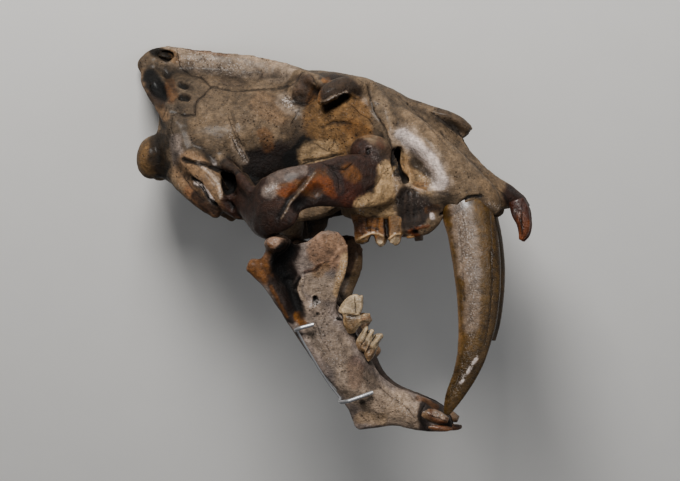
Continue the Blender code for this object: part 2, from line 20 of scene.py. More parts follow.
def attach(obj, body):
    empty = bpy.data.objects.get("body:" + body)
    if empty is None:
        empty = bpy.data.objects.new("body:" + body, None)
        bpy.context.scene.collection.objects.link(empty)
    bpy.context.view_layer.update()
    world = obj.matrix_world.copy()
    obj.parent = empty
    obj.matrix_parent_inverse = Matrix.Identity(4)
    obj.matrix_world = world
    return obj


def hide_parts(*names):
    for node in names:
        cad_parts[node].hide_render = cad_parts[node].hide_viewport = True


bl_info = {
    "name": "Sabre-toothed cat skull",
    "version": (1, 0, 0),
    "blender": (4, 5, 0),
    "location": "View3D > Sidebar > Skull",
    "description": "Makes a fossil skull, its teeth and jaw wires on a plain stage",
    "category": "Object",
}

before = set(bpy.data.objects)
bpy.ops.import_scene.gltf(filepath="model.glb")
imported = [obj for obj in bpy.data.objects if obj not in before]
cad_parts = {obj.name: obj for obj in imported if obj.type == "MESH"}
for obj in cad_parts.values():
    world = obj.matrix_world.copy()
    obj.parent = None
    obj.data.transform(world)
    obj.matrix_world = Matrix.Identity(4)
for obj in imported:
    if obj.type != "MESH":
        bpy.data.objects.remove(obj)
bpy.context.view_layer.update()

MM = 0.001
RIGHT, LEFT = -1, 1
BOTH = (RIGHT, LEFT)
SIDES = ((RIGHT, "right"), (LEFT, "left"))

# Turn, in degrees, and shift that lay the skull down
REST_TURN = (-127.58, -6.941, 0)
REST_SHIFT = (-149.96, 1.26, 88.97)
REST = Matrix.Translation(Vector(REST_SHIFT) * MM) @ Euler(
    [math.radians(angle) for angle in REST_TURN]
).to_matrix().to_4x4()

# Camera, in skull coordinates: what it looks at, how far off it is, its angles round and above the
# right side in degrees, and how much of the skull's plane fills the picture's width
PICTURE_SIZE = (680, 481)
TARGET = (152, 0, 0)
DISTANCE = 2000
AZIMUTH = 6.0
ELEVATION = -1.5
VIEW_WIDTH = 510
SENSOR = 36

# Central block of the cranium: at each x, half of the outline from the top midline round to the
# bottom midline, as (y, z)
BRAINCASE_AND_SNOUT = [
    (17, [(0, 118), (13, 116), (22, 104), (26, 86), (27, 70), (24, 56), (13, 49), (0, 49)]),
    (30, [(0, 128), (9, 124), (22, 114), (35, 94), (42, 72), (37, 53), (20, 42), (0, 42)]),
    (55, [(0, 129), (8, 124), (24, 114), (40, 94), (46, 73), (39, 51), (22, 38), (0, 38)]),
    (85, [(0, 127), (8, 121), (23, 111), (38, 92), (43, 73), (37, 52), (22, 38), (0, 37)]),
    (110, [(0, 127), (9, 121), (21, 110), (32, 91), (34, 73), (29, 55), (18, 42), (0, 40)]),
    (128, [(0, 128), (14, 124), (24, 111), (28, 92), (27, 75), (23, 57), (16, 44), (0, 43)]),
    (145, [(0, 127), (24, 123), (34, 111), (33, 95), (30, 78), (26, 60), (18, 42), (0, 42)]),
    (160, [(0, 124), (26, 121), (37, 109), (37, 94), (34, 78), (31, 58), (22, 38), (0, 40)]),
    (178, [(0, 119), (22, 117), (36, 107), (39, 93), (38, 76), (36, 54), (34, 32), (0, 38)]),
    (196, [(0, 111), (18, 109), (32, 98), (41, 82), (43, 62), (42, 42), (35, 24), (0, 35)]),
    (215, [(0, 99), (14, 98), (27, 89), (39, 73), (43, 57), (42, 40), (35, 22), (0, 33)]),
    (235, [(0, 87), (11, 87), (20, 79), (31, 68), (39, 54), (40, 40), (32, 23), (0, 31)]),
    (252, [(0, 66), (11, 67), (18, 63), (27, 55), (34, 44), (33, 32), (27, 22), (0, 29)]),
    (266, [(0, 50), (9, 51), (16, 49), (22, 44), (26, 38), (26, 28), (20, 20), (0, 27)]),
    (280, [(0, 41), (8, 41), (13, 39), (18, 36), (20, 32), (18, 27), (13, 24), (0, 26)]),
    (292, [(0, 31), (7, 31), (11, 30), (14, 28), (15, 26), (14, 24), (10, 22), (0, 22)]),
]

# Limbs of bone are lists of (x, y out from the midline, z, half width, half height)
SAGITTAL_CREST = [
    (1, 0, 128, 5, 5), (6, 0, 132, 5.5, 10), (18, 0, 136, 5, 12), (45, 0, 133, 3.6, 12),
    (82, 0, 129, 3.6, 12), (108, 0, 124, 5, 11), (124, 0, 120, 9, 9),
]
NUCHAL_CREST = [
    (9, 0, 124, 6, 9), (12, 12, 119, 7, 9), (19, 23, 109, 8, 9), (28, 32, 96, 8, 9), (37, 38, 81, 7, 9),
    (43, 42, 66, 6, 9), (48, 45, 54, 6, 8),
]
MASTOID = [
    (46, 43, 60, 9, 9), (58, 47, 46, 10, 9), (70, 49, 32, 9.5, 8.5), (80, 49, 21, 6, 6),
    (85, 48, 15, 3, 3),
]
PAROCCIPITAL = [(32, 32, 52, 9, 9), (44, 39, 39, 8.5, 8.5), (57, 42, 27, 8, 7), (68, 43, 18, 5.5, 5)]
CONDYLE_NECK = [(14, 19, 61, 10, 13), (28, 20, 58, 12, 13), (40, 20, 54, 12, 12)]
TEMPORAL_LINE = [(110, 2, 125, 5, 6), (124, 14, 122, 5, 6), (136, 28, 118, 6, 5), (146, 37, 113, 6, 5)]
FRONTAL_BOSS = [(118, 17, 109, 8, 8), (127, 20, 111, 9, 9), (136, 23, 110, 7, 7)]
POSTORBITAL = [
    (178, 22, 112, 9, 7), (166, 32, 113, 11, 8), (155, 41, 111, 9.5, 7.5), (147, 46, 106, 7, 6),
    (143, 48, 101, 4, 4), (141, 48, 98, 2, 2),
]
ORBIT_RIM = [
    (180, 28, 106, 7, 7), (188, 33, 96, 7, 7), (193, 37, 82, 7, 7), (195, 41, 68, 7, 7), (190, 47, 60, 8, 8),
]
CHEEK_ROOT_RIDGE = [(62, 39, 62, 5, 6), (75, 46, 53, 4, 5), (86, 60, 43, 4, 5), (97, 78, 32, 4, 4)]
CHEEK_ARCH = [
    (80, 40, 42, 9, 11), (91, 58, 27, 9, 12), (102, 76, 19.5, 7.5, 18.5), (108, 85, 22, 7.5, 21),
    (116, 90, 25.5, 7.5, 22.5), (123, 92, 32, 6.5, 18), (134, 91, 36, 5.5, 16.5), (149, 87, 38.5, 5.5, 17),
    (164, 79, 40, 6, 20), (177, 69, 41, 8, 20), (191, 56, 43, 10, 18), (204, 44, 46, 9, 15),
]
JAW_SOCKET_BAR = [(104, 30, 38, 16, 11), (106, 48, 24, 13, 13), (107, 66, 13, 12, 13), (107, 84, 11, 10, 12)]
CHEEK_TOOTH_BONE = [
    (158, 43, 30, 5, 13), (170, 44, 29, 8, 16), (186, 45, 29, 9, 16), (204, 43, 34, 9, 19),
    (220, 40, 35, 9, 17), (236, 37, 36, 8, 11),
]
SABRE_ROOT = [
    (253, 35, 28, 10, 18), (246, 36, 39, 12, 17), (235, 38.5, 53, 12.5, 15), (222, 39, 67, 11.5, 13),
    (208, 35, 81, 9, 11), (196, 29, 92, 7, 8),
]
SABRE_FRONT_RIM = [(258, 37, 40, 7, 8), (264, 36, 32, 7, 9), (268, 33, 25, 6, 8), (271, 29, 20, 4, 5)]
NASAL = [
    (190, 8, 106, 8, 5), (210, 9, 99, 9, 5), (226, 10, 94, 9, 4.5), (240, 10.5, 89.5, 8.5, 4),
    (250, 10, 81, 7, 4),
]
PTERYGOID = [(156, 18, 36, 3, 9), (138, 17, 29, 2.6, 12), (122, 16, 24, 2.4, 11), (110, 15, 15, 2, 4)]
ROCK_LUMP = [
    (200, 41, 16, 5, 11), (206, 41, 14, 7, 12), (214, 40, 13, 8, 12), (222, 39, 18, 7, 11),
    (229, 37, 24, 5, 8),
]
SIDE_BONES = [
    MASTOID, PAROCCIPITAL, CONDYLE_NECK, TEMPORAL_LINE, FRONTAL_BOSS, POSTORBITAL, CHEEK_ROOT_RIDGE,
    CHEEK_ARCH, JAW_SOCKET_BAR, CHEEK_TOOTH_BONE, SABRE_ROOT, SABRE_FRONT_RIM, NASAL, PTERYGOID,
]

# Rounded knobs on each side, as centre, radii and turn: the condyle, the boss in front of the eye
# and the ear bulb
SIDE_KNOBS = [
    ((12.5, 20, 62), (11.5, 14, 16.5), (0, 0.1, 0)),
    ((180, 52, 63), (16, 14, 13), (0, 0, 0)),
    ((84, 31, 29), (21, 13, 15), (0, 0.15, -0.2)),
]

# Hollows of the cranium, drawn the same way
NOSE_HOLLOW = [
    (304, 0, 60, 9, 18), (284, 0, 58, 11, 18), (264, 0, 60, 14, 19), (244, 0, 62, 15.5, 20),
    (220, 0, 66, 14, 18), (196, 0, 68, 11, 15), (176, 0, 68, 6, 8),
]
SPINE_HOLLOW = [(-8, 0, 70, 12, 10), (20, 0, 72, 11, 9.5), (44, 0, 74, 9, 8)]
THROAT_HOLLOW = [(118, 0, 30, 10, 12), (140, 0, 38, 11, 12), (160, 0, 46, 10, 8), (176, 0, 50, 6, 5)]
FACE_HOLLOW = [(211, 62, 51, 6, 13), (203, 49, 54, 6.5, 13.5), (196, 39, 57, 6, 11), (186, 31, 60, 4, 8)]
EAR_HOLLOW = [(76, 60, 40, 7, 8), (76, 48, 42, 6, 7), (78, 38, 44, 4, 5)]
CREST_HOLLOW = [(21, 14, 139, 6, 5), (21, 6, 140, 5.5, 4.5), (21, 1.5, 140, 3, 3)]

# Soft dents pressed into the cranium: centre, reach and push, all as (x, y out, z)
DENTS = [
    ((18, 25, 112), (8.5, 16, 18), (1, -8, 0)),
    ((20, 10, 133), (12, 10, 9), (0, -2.5, 0)),
    ((92, 42, 62), (26, 22, 22), (0, -4, 0)),
    ((213, 47, 50), (17, 18, 24), (-1, -6, 0)),
    ((228, 0, 32), (60, 22, 16), (0, 0, 4)),
    ((26, 20, 88), (14, 16, 20), (3, 0, 0)),
    ((125, 92, 22), (20, 16, 14), (0, -1.5, 0)),
]

# Lower jaw as it hangs open. Slabs are outlines of (x, z) with a lens-shaped edge: y is that of
# the middle of the slab, given at three places as (x, z, y)
RAMUS = [
    (112, -8), (124, -4), (133, -3), (140, 1.5), (144, 5), (150, 6.5), (157, 5), (162, -1), (164.5, -8),
    (163, -15), (159, -24), (155, -33), (152, -42), (153, -50), (158, -62), (164, -72), (168, -80),
    (173, -91), (166, -104), (150, -98), (135, -82), (121, -61), (110, -42), (106, -28), (110, -16),
]
RAMUS_PLANE = [(112, -8, 68), (157, 0, 59), (158, -80, 38)]
CHIN = [
    (152, -112), (161, -127), (165, -139), (168, -141), (194, -138), (213, -142), (228, -143), (238, -141),
    (236, -133), (222, -123), (198, -112), (182, -103), (168, -98),
]
CHIN_PLANE = [(152, -112, 29), (238, -132, 8), (166, -140, 19)]
JAW_BODY = [
    (232, 6, -135, 4, 5), (224, 8, -130, 6.5, 9), (208, 13, -126, 9, 12), (190, 18, -120, 9, 13),
    (175, 25, -109, 8.5, 14), (163, 32, -93, 8, 17), (151, 38, -73, 8, 17), (142, 43, -54, 6.5, 16),
    (139, 47, -38, 5, 12),
]
CHIN_JOIN = [(182, 6, -122, 6, 8), (200, 5, -126, 8, 12), (218, 4, -130, 8, 10), (233, 3, -136, 6, 6)]
JAW_BACK_RIDGE = [
    (92, 70, -19, 5, 5), (99, 69, -22, 5.5, 7), (107, 66, -30, 5, 7), (115, 61, -44, 4.8, 6),
    (123, 54, -59, 5, 5), (133, 47, -75, 5, 5), (144, 40, -92, 5, 5), (157, 31, -108, 5, 5),
    (166, 25, -118, 5, 6),
]
JAW_CONDYLE = [(115, 52, -3, 6, 5), (114, 62, -4, 9, 6.5), (114, 76, -4, 9.5, 6.5), (115, 89, -4, 6.5, 4.5)]
JAW_NECK = [(115, 72, -5, 8, 7), (109, 69, -13, 6, 5.5), (105, 68, -22, 5.5, 6)]
CORONOID_RIDGE = [
    (152, 56, 2, 3.5, 5), (158, 56, -7, 3.5, 6), (157, 54, -22, 3.5, 6), (151, 50, -38, 4, 6),
    (148, 46, -52, 4, 6),
]
JAW_LIP = [(139, 57, -22, 3, 5), (136, 54, -34, 3, 6.5), (135, 51, -46, 3, 6.5), (138, 47, -60, 3, 6)]
JAW_DENTS = [((121, 66, -24), (12, 14, 26), (0, -3.5, 0)), ((124, 60, -44), (6, 12, 22), (0, -3, 0))]
RAMUS_THICKNESS = 8
CHIN_THICKNESS = 9

# Block that trims a chin to its flat inner face: its middle, its size and the gap that it leaves
CHIN_TRIM_MIDDLE = (200, -120)
CHIN_TRIM_SIZE = (120, 40, 80)
MIDLINE_GAP = 0.4

# Teeth
UPPER_CANINE = [
    (245, 35.5, 32, 7.5, 15), (249, 36, 20, 9.5, 18.3), (252.8, 36, 7, 9.3, 18.3), (255.2, 36, -7, 9, 18.1),
    (256.6, 36, -20, 8.6, 17.6), (257.4, 36, -34, 8, 16.6), (257.4, 35.5, -47, 7.5, 15.4),
    (256.6, 35, -61, 6.8, 14.1), (254.8, 34.5, -74, 6, 12.4), (252, 34, -87, 5.2, 10.6),
    (246.8, 33.5, -101, 4.3, 8.6), (240.2, 33, -114, 3.4, 6.8), (236.6, 32.5, -122, 2.6, 4.8),
    (233.8, 32, -129, 1.2, 2.2),
]
BROKEN_CANINE_ROWS = 9
UPPER_CARNASSIAL = [
    (167, 22), (167, 10), (167.5, 0), (169.5, -3.5), (174.5, -3.5), (176.3, 0.5), (179.3, 3.5), (181.8, 1.5),
    (183, -3), (186.5, -6), (190, -3.5), (191.3, 0.5), (192.2, 2.5), (193.6, 0), (196.4, -4.8), (200, -3.5),
    (202, 2), (203, 5), (203, 22),
]
UPPER_CARNASSIAL_PLANE = [(168, 0, 43), (203, 0, 41), (185, 20, 44)]
UPPER_STUMP = [(207, 40, 14, 4.2, 4), (208, 40, 5, 4, 3.8), (208.5, 40, 0.5, 3.4, 3.2)]
UPPER_INCISORS = {
    "1": [(286, 4, 27, 2.6, 3), (289, 4, 21, 2.7, 3.4), (291, 4, 15, 2.3, 3), (291, 4, 9, 1.4, 1.8)],
    "2": [
        (285, 10.7, 27, 2.9, 3.6), (288, 10.7, 20, 3, 4), (290.5, 10.8, 13, 2.6, 3.4),
        (290, 10.8, 6, 1.4, 1.8),
    ],
    "3": [
        (285, 18, 29, 3.6, 6), (287.5, 18.6, 21, 4.1, 7), (290, 19, 12, 3.7, 5.4), (290, 19, 5, 2.5, 3.8),
        (288, 19, -0.5, 1.1, 1.5),
    ],
}
LOWER_CARNASSIAL = [
    (155.5, -53.5), (156, -50.5), (158.5, -46.5), (161.5, -43.2), (165, -41.2), (168.5, -40.6),
    (171, -41.8), (173.2, -41.2), (173.5, -48), (172.5, -52.5), (171, -56), (173.5, -55.8), (178, -54.4),
    (178.8, -57), (180, -60), (176.5, -61.5), (172.5, -62.5), (170, -65), (167, -69), (163, -69.5),
    (160.5, -67), (159, -62), (158.5, -56),
]
LOWER_CARNASSIAL_PLANE = [(152, -62, 40), (180, -56, 41), (168, -40, 42)]
LOWER_PREMOLAR = [
    (167.5, -78), (168.5, -73), (171.5, -68.5), (175, -64), (176.3, -65.5), (175.8, -69), (178, -66.6),
    (180.8, -66.8), (180.6, -69.5), (179, -72.5), (182, -69.8), (186.5, -69.3), (187.8, -72), (185, -76),
    (182.5, -82), (180, -87), (176.5, -90), (174, -86), (173.5, -83), (170, -82),
]
LOWER_PREMOLAR_PLANE = [(165, -80, 34), (188, -70, 36), (174, -92, 33)]
# The left side's cheek teeth are worn or broken down to low stumps
BROKEN_CARNASSIAL = [
    (157, -66), (159, -60), (162, -55.5), (166, -54), (169, -56), (172, -59.5), (170, -64), (166, -70),
    (160, -72),
]
BROKEN_PREMOLAR = [
    (165, -78), (169, -75), (174, -77), (179, -81), (179, -85), (175, -89), (170, -90), (166, -86),
]
BROKEN_UPPER_CARNASSIAL = [
    (167.5, 20), (168, 10), (171, 5), (177, 4), (183, 3), (188, 4.5), (193, 3.5), (198, 4), (202, 7),
    (203, 20),
]
LOWER_CANINE = [
    (211, 12.5, -127, 5, 5.5), (220, 13.5, -129.5, 5.2, 6), (228, 13.5, -132, 4.5, 5),
    (234, 13, -134, 2.2, 2.6),
]
LONGER_CANINE = [
    (214, 12.5, -126, 5, 5.5), (224, 13, -128.5, 5.5, 6), (233, 12.5, -131.5, 5, 5.5),
    (240, 12, -134, 2.6, 3),
]
LOWER_INCISORS = {
    "1": [(226, 5.5, -138, 2, 2.6), (237, 5, -139.5, 2.4, 3), (243, 4.6, -139, 1.3, 1.7)],
    "2": [(219, 12, -138.5, 2, 2.6), (230, 11.5, -140, 2.4, 3), (237, 11, -140, 1.3, 1.7)],
}
UPPER_BLADE_THICKNESS = 11
LOWER_BLADE_THICKNESS = 9

# Cheek teeth: jaw, name of the piece, name of its solid, and its stations, or else its outline on the
# right and on the left with its plane and thickness
CHEEK_TEETH = [
    ("upper", "blade", "carnassial", (
        UPPER_CARNASSIAL, BROKEN_UPPER_CARNASSIAL, UPPER_CARNASSIAL_PLANE, UPPER_BLADE_THICKNESS,
    )),
    ("upper", "stump", "premolar", UPPER_STUMP),
    ("lower", "blade", "carnassial", (
        LOWER_CARNASSIAL, BROKEN_CARNASSIAL, LOWER_CARNASSIAL_PLANE, LOWER_BLADE_THICKNESS,
    )),
    ("lower", "cusps", "premolar", (
        LOWER_PREMOLAR, BROKEN_PREMOLAR, LOWER_PREMOLAR_PLANE, LOWER_BLADE_THICKNESS,
    )),
]
CHEEK_TOOTH_GROUNDS = {"upper": "ochre", "lower": "cream"}

# Wire that holds the right jaw: the (x, y, z) that two hooked clips and a strut pass through
UPPER_CLIP = [(130, -48, -63.5), (126, -54, -66.5), (125.5, -60, -66.8), (130, -62, -65), (139, -60.5, -62.5)]
LOWER_CLIP = [
    (160, -20, -111), (155, -27, -116), (156, -35, -120), (162, -40, -119), (172, -40, -115.5),
    (180, -37, -112.5),
]
STRUT = [(126.5, -57, -67), (132, -52, -78), (141, -43, -95), (148, -35, -107), (156, -31, -117.5)]

# Colours of the fossil, as they look on a screen, and those of its painted shade and highlights
TINTS = {
    "bone": (0.445, 0.39, 0.325),
    "pale": (0.58, 0.525, 0.47),
    "grey": (0.32, 0.285, 0.245),
    "tan": (0.485, 0.405, 0.32),
    "cream": (0.64, 0.555, 0.44),
    "ochre": (0.50, 0.405, 0.285),
    "khaki": (0.41, 0.335, 0.235),
    "honey": (0.42, 0.298, 0.145),
    "gold": (0.48, 0.34, 0.125),
    "rust": (0.43, 0.262, 0.095),
    "umber": (0.17, 0.117, 0.092),
    "plum": (0.24, 0.163, 0.128),
    "mauve": (0.50, 0.46, 0.435),
    "rose": (0.53, 0.44, 0.37),
    # Near black: painted shade in holes, pits, slits and gaps, and the dark of cracks
    "soot": (0.03, 0.02, 0.02),
    "stone": (0.22, 0.187, 0.178),
    # Chalk white: pale flakes and grains, and painted highlights on the snout ridge and the sabre
    "chalk": (0.74, 0.70, 0.68),
    "redwood": (0.31, 0.172, 0.092),
    "sabre": (0.385, 0.305, 0.145),
    "olive": (0.315, 0.25, 0.125),
    # Pale streak down the right sabre: scratched enamel and a painted highlight
    "scratch": (0.55, 0.50, 0.46),
    "enamel": (0.65, 0.59, 0.50),
}

# How much darker and greyer the colours are made, because the render's tone curve lifts them
TONE_POWER = 1.48
SATURATION = 0.98

# How far around a crack its line is drawn, in mm, and a distance that stands for no crack at all
CRACK_REACH = 3.0
FAR_AWAY = 50.0

# Gloss of bone and tooth where no stain lies
GROUND_GLOSS = 0.15

# How squarely a spot has to face the camera before a mark is seen on it, and until it is seen in full
FACING_START = 0.05
FACING_SPAN = 0.3

# Rounds of softening that find wide and narrow hollows, for the painted shade in them
WIDE_ROUNDS = 40
NARROW_ROUNDS = 5

# Colours inside pores and cracks, and of pale specks
PORE_COLOUR = (0.012, 0.008, 0.006, 1)
SPECK_COLOUR = (0.42, 0.37, 0.34, 1)

# How fast the textures of the fossil change, per mm of skull
BLOTCH_SCALE = 0.20
STREAK_SCALE = 0.9
PORE_SCALE = 0.38
PORE_PATCH_SCALE = 0.09
SPECK_SCALE = 0.85
CRACK_GAP_SCALE = 0.32

# Band that most values of a noise texture lie in
NOISE_BAND = (0.36, 0.64)

# How strongly blotches, streaks and pale specks show
MOTTLING = 0.5
STREAKING = 0.2
SPECKLING = 0.35

# Height of the fossil's fine relief, and how its surface bends and reflects light
FOSSIL_BUMP = 1.6 * MM
FOSSIL_IOR = 1.45
COAT_ROUGHNESS = 0.22

# Size of the cells that melt the shells of a piece together, before its own fine grain
CRANIUM_CELL = 2 * MM
JAW_CELL = 1.6 * MM
SABRE_CELL = 0.8 * MM

# Random grain of each surface, as height and scale in mm, and seed
CRANIUM_GRAIN = [(0.5, 16, 3), (0.4, 5, 8)]
JAW_GRAIN = [(0.4, 12, 5), (0.25, 4, 11)]
SABRE_GRAIN = [(0.25, 14, 31), (0.08, 2, 33)]
CHEEK_TOOTH_GRAIN = [(0.3, 6, 41), (0.12, 1.5, 43)]
FRONT_GRAIN = [(0.35, 5, 51), (0.15, 1.6, 53)]

# How fast the wire's scratches change, per mm
WIRE_SCRATCH_SCALE = 2.2

# Corners round a wire, points in each of its bends, and the bends' radius as a share of the wire's
WIRE_CORNERS = 20
BEND_POINTS = 6
BEND_SHARE = 2.5

# Lights at the skull: name, direction from it as (right, up, toward the camera), distance and size in
# metres, power in watts and colour
LIGHTS = [
    ("key", (-0.12, 0.5, 0.85), 1.5, 0.45, 42, (1, 0.98, 0.95)),
    ("fill", (0.8, -0.3, 0.6), 2.2, 1.4, 5, (0.95, 0.97, 1)),
]
TOP_LIGHT_HEIGHT = 2.4
TOP_LIGHT_SIZE = 2.0
TOP_LIGHT_POWER = 4
SKY_COLOUR = (0.8, 0.82, 0.85, 1)
SKY_STRENGTH = 0.12
FLOOR_SIZE = 6
FLOOR_ROUGHNESS = 0.8
FLOOR_SCALE = 30.0
FLOOR_SHADE = 0.96

# Every mark below runs through pixels of the photograph. A range says how far out from the midline it
# may lie, in mm, and a mark without one lies anywhere on its piece
EVERYWHERE = (0, 110)

# Paths that more than one table marks
MASTOID_RIDGE_PATH = [(198, 163), (209, 172), (219, 184), (221, 198)]
MASTOID_FLAKES_PATH = [(196, 183), (203, 187), (208, 195), (213, 202)]
MASTOID_SPLIT_PATH = [(193, 179), (201, 184), (209, 199), (216, 205)]
ARCH_LINE_PATH = [(281, 218), (286, 211), (290, 203), (297, 195), (305, 187), (309, 181), (316, 172)]
SNOUT_RIDGE_PATH = [(402, 134), (415, 145), (427, 157), (437, 169), (441, 184)]
SOCKET_CRACK_PATH = [(441, 214), (456, 210), (460, 204), (468, 197), (480, 196)]
UPPER_RIM_PATH = [(358, 240), (364, 236.5), (372, 233), (379, 234), (385, 237)]
UPPER_FRONT_RIM_PATH = [(389, 239), (394, 234.5), (400, 233.5)]

# Cracks and sutures of the cranium: name, strength, path and range
CRANIUM_CRACKS = [
    ("crest suture", 0.7, [(177, 48), (178, 57), (180, 65), (184, 71), (190, 75), (202, 78)], (0, 60)),
    ("crest suture rear", 0.5, [(202, 78), (206, 82), (211, 87)], (0, 60)),
    ("temple line", 0.55, [
        (211, 87), (217, 87), (224, 90), (235, 92), (250, 90.5), (264, 89), (278, 88), (289, 86),
    ], (0, 60)),
    ("temple line rise", 0.7, [(292, 85), (297, 81), (299, 76), (304, 72)], (0, 60)),
    ("step crack", 0.55, [(210, 88), (206, 92), (204, 96), (198, 99), (196, 104)], (0, 60)),
    ("rear crack", 0.6, [(195, 105), (195.5, 115), (186, 115), (178, 113.5), (171, 112)], (0, 60)),
    ("crest edge", 0.6, [(186, 49), (200, 51), (214, 51.5), (226, 54)], (0, 12)),
    ("hooked crack", 0.6, [(298, 112), (295, 117), (292, 123)], (0, 60)),
    ("brow flake edge", 0.5, [(286, 96), (294, 105), (306, 106), (317, 98)], (0, 60)),
    ("brow patch edge", 0.6, [
        (293, 88), (293, 98), (297, 104), (306, 103), (313, 96), (317, 85), (312, 77),
    ], (0, 60)),
    ("first scratch", 0.8, [(233, 140), (236, 148), (243, 160)], (20, 60)),
    ("second scratch", 0.8, [(238, 138), (244, 148), (249, 158)], (20, 60)),
    ("third scratch", 0.5, [(229, 118), (232, 128), (236, 137)], (20, 60)),
    ("eye floor line", 0.9, [(303, 164), (316, 160), (328, 158), (339, 155)], (0, 60)),
    ("eye floor split", 0.6, [(315, 143), (321, 148), (328, 151), (337, 153)], (0, 60)),
    ("eye floor branch", 0.5, [(328, 151), (333, 146), (334, 141)], (0, 60)),
    ("eye band", 0.3, [(322, 127), (333, 122), (343, 123), (352, 120)], (0, 60)),
    ("brow drop", 0.5, [(352, 106), (360, 114), (368, 118), (374, 126)], (0, 60)),
    ("face suture", 0.6, [
        (366, 84), (369, 92), (371, 101), (374, 111), (380, 121), (386, 129), (389, 138), (392, 148),
    ], (10, 80)),
    ("nasal seam", 0.8, [(432, 113), (441, 119), (451, 127), (459, 133), (466, 140)], (4, 40)),
    ("snout seam", 0.35, [(398, 96), (416, 112), (434, 132), (450, 150)], (4, 80)),
    ("socket crack", 1.0, [
        (485, 196), (477, 195), (470, 197), (463, 201), (457, 208), (450, 212.5), (440, 215),
    ], (20, 80)),
    ("front crack", 0.8, [(493, 186), (499, 190), (505, 196), (508, 205)], (0, 60)),
    ("tip crack", 0.8, [(507, 199), (514, 203), (520, 206), (527, 203)], (0, 60)),
    ("tooth row edge", 0.6, [(357, 221), (366, 219), (374, 216), (380, 219), (386, 224)], (30, 80)),
    ("cheek seam", 0.5, [(390, 168), (382, 175), (376, 186), (366, 191), (359, 194)], (30, 80)),
    ("arch seam", 0.6, [(322, 163), (334, 169), (345, 170), (352, 163)], (45, 110)),
    ("arch front seam", 0.5, [(330, 170), (338, 177), (339, 190)], (45, 110)),
    ("mastoid split", 1.0, [(190, 175), (197, 183), (204, 190), (209, 199), (217, 206)], (30, 64)),
    ("upper split", 0.9, [(180, 158), (192, 163), (205, 165), (216, 168), (227, 173)], (30, 64)),
    ("mastoid second", 0.6, [(183, 176), (192, 188), (200, 197)], (30, 64)),
    ("rear rib", 0.5, [(166, 108), (163, 118), (165, 128)], (20, 60)),
    ("rear rib two", 0.5, [(172, 118), (171, 128), (174, 137)], (20, 60)),
]

# Depth and half width of the groove along a crack, in mm
FURROW_DEPTH = 0.35
FURROW_REACH = 1.4

# Most triangles in the cranium, and how far left of the midline its faces may be made larger
BONE_FACES = 172000
FAR_SIDE_START = 4
